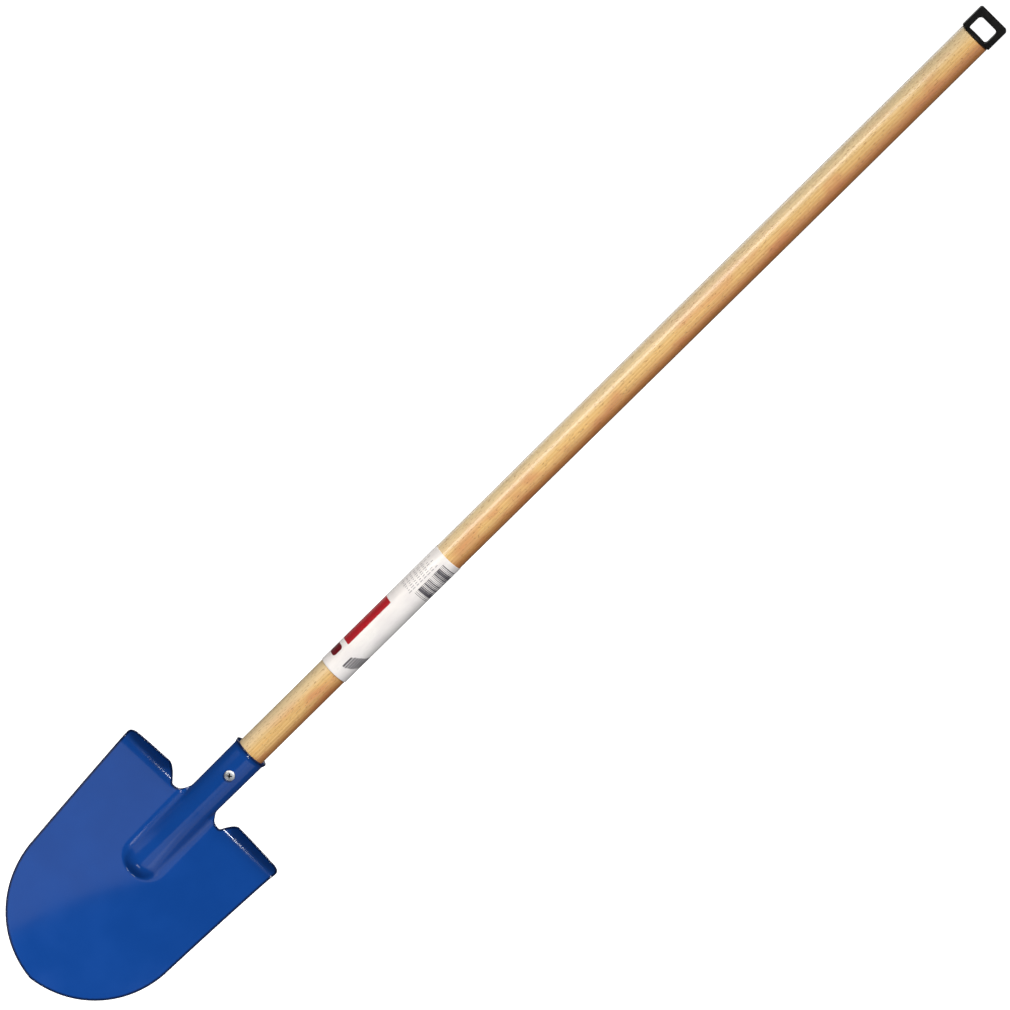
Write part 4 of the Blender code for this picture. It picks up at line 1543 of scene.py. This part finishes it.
@dataclass(frozen=True)
class Softbox:
    """A soft studio lamp, placed round the tool's middle."""

    name: str
    azimuth: float        # degrees from the front towards the right
    elevation: float      # degrees above the horizon
    distance: float
    width: float
    height: float
    radiance: float
    colour: str = "FFFFFF"
    lift: float = 0.0     # how much higher than the tool's middle its aim is
    roll: float = 0.0     # degrees that its right end is turned up, seen from the tool

    def hang(self, middle: Vector) -> None:
        """Put the lamp in the scene, facing the tool."""
        lamp = bpy.data.lights.new(self.name, "AREA")
        lamp.shape = "RECTANGLE"
        lamp.size = self.width
        lamp.size_y = self.height
        lamp.color = linear(self.colour)[:3]
        lamp.energy = self.radiance * pi * self.width * self.height
        item = bpy.data.objects.new(self.name, lamp)
        bpy.context.scene.collection.objects.link(item)
        back = direction(self.azimuth, self.elevation)
        item.location = middle + back * self.distance + Vector((0.0, 0.0, self.lift))
        facing = back.to_track_quat("Z", "Y").to_matrix()
        item.rotation_euler = (facing @ Matrix.Rotation(radians(self.roll), 3, "Z")).to_euler()
        item.visible_camera = False


def direction(azimuth: float, elevation: float) -> Vector:
    """Unit direction out from the tool at an azimuth and elevation in degrees."""
    turn = radians(azimuth)
    tilt = radians(elevation)
    return Vector((sin(turn) * cos(tilt), -cos(turn) * cos(tilt), sin(tilt)))


@dataclass
class Studio:
    """Plain pale floor, soft lamps and the camera."""

    floor_drop: float = 0.9          # below the blade's point
    floor_radius: float = 120.0
    floor_sides: int = 64
    surround: float = 0.05           # the room's brightness, as lamp light sees it
    camera_azimuth: float = -5.4
    camera_elevation: float = 9.7
    camera_distance: float = 9.3
    camera_lean: float = 45.38
    camera_aim: tuple[float, float, float] = (0.00291, 0.0, 0.7408)   # x, y and height above the point
    frame_width: float = 1.1093      # how much the frame takes in at the tool
    far: float = 400.0               # how far the camera sees

    def make_floor(self) -> None:
        """Lay a pale floor far below the hanging tool, seen by the camera but lighting nothing."""
        shape = bmesh.new()
        bmesh.ops.create_circle(shape, cap_ends=True, segments=self.floor_sides,
                                radius=self.floor_radius)
        mesh = bpy.data.meshes.new("studio_floor")
        shape.to_mesh(mesh)
        shape.free()
        mesh.transform(Matrix.Translation((0.0, 0.0, CAD_BOX[0].z - self.floor_drop)))
        floor = add_piece("studio_floor", mesh)
        floor.data.materials.append(PaintedFloor().make())
        floor.visible_diffuse = False
        floor.visible_glossy = False

    def make_world(self) -> None:
        """Surround the tool with a dim even room that the camera sees as white."""
        world = bpy.data.worlds.new("studio room")
        world.use_nodes = True
        tree = world.node_tree
        tree.nodes.clear()
        path = add_node(tree, "ShaderNodeLightPath")
        room = add_node(tree, "ShaderNodeBackground", links={
            "Color": linear("FFFFFF"), "Strength": self.surround})
        white = add_node(tree, "ShaderNodeBackground", links={
            "Color": linear("FFFFFF"), "Strength": 1.0})
        mixed = add_node(tree, "ShaderNodeMixShader", links={"Fac": result(path, "Is Camera Ray")})
        tree.links.new(result(room), mixed.inputs[1])
        tree.links.new(result(white), mixed.inputs[2])
        output = add_node(tree, "ShaderNodeOutputWorld")
        tree.links.new(result(mixed), output.inputs["Surface"])
        bpy.context.scene.world = world

    def make_camera(self) -> None:
        """Set the camera, leaning so that the handle runs up to the right."""
        camera = bpy.data.cameras.new("studio camera")
        camera.sensor_width = 36.0
        camera.lens = camera.sensor_width * self.camera_distance / self.frame_width
        camera.clip_end = self.far
        item = bpy.data.objects.new("studio camera", camera)
        bpy.context.scene.collection.objects.link(item)
        back = direction(self.camera_azimuth, self.camera_elevation)
        right = Vector((0.0, 0.0, 1.0)).cross(back).normalized()
        up = back.cross(right)
        lean = radians(self.camera_lean)
        across = up * sin(lean) + right * cos(lean)
        along = up * cos(lean) - right * sin(lean)
        aim = Vector(self.camera_aim)
        aim.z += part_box("blade")[1].z - PressedBlade.rim
        pose = Matrix((across, along, back)).transposed().to_4x4()
        pose.translation = aim + back * self.camera_distance
        item.matrix_world = pose
        bpy.context.scene.camera = item

    def make(self) -> None:
        """Build the whole studio."""
        self.make_floor()
        self.make_world()
        self.make_camera()
        middle = 0.5 * (CAD_BOX[0] + CAD_BOX[1])
        lamps = (
            Softbox("overhead key", 0.0, 50.0, 20.0, 7.5, 3.5, 49.0, "FFFDF8"),
            Softbox("left strip", -45.0, 0.0, 1.1, 0.40, 1.02, 5.5, "FFF8EC", 0.03),
            Softbox("left glint", 0.3, -43.0, 0.63, 0.016, 0.045, 80.0, lift=-0.474),
            Softbox("right glint", 12.7, -43.0, 0.63, 0.012, 0.045, 80.0, lift=-0.474),
            Softbox("right panel", 45.0, 12.0, 3.2, 5.8, 2.25, 0.60, lift=-0.60, roll=18.0),
            Softbox("low left panel", -64.0, 0.0, 1.1, 0.84, 0.10, 0.6, lift=-0.612),
            Softbox("low right panel", 61.0, 0.0, 1.1, 0.89, 0.22, 0.5, lift=-0.681),
            Softbox("rear left panel", -142.0, 10.0, 3.0, 1.8, 2.6, 1.4),
        )
        for lamp in lamps:
            lamp.hang(middle)
        bpy.context.scene.view_settings.view_transform = "Standard"
        LOG.info("studio: %d lamps", len(lamps))


def main() -> None:
    """Build the tool's pieces in order, then the studio, and note the sizes."""
    logging.basicConfig(level=logging.INFO, format="%(name)s: %(message)s")
    turning = turning_tree()
    PressedBlade().make()
    TurnedHandle(turning).make()
    SocketScrew(turning, thread_tree()).make()
    HangLoopCap(turning).make()
    WrapLabel(turning, wrapping_tree(), bars_tree()).make()
    Studio().make()


if __name__ == "__main__":
    main()
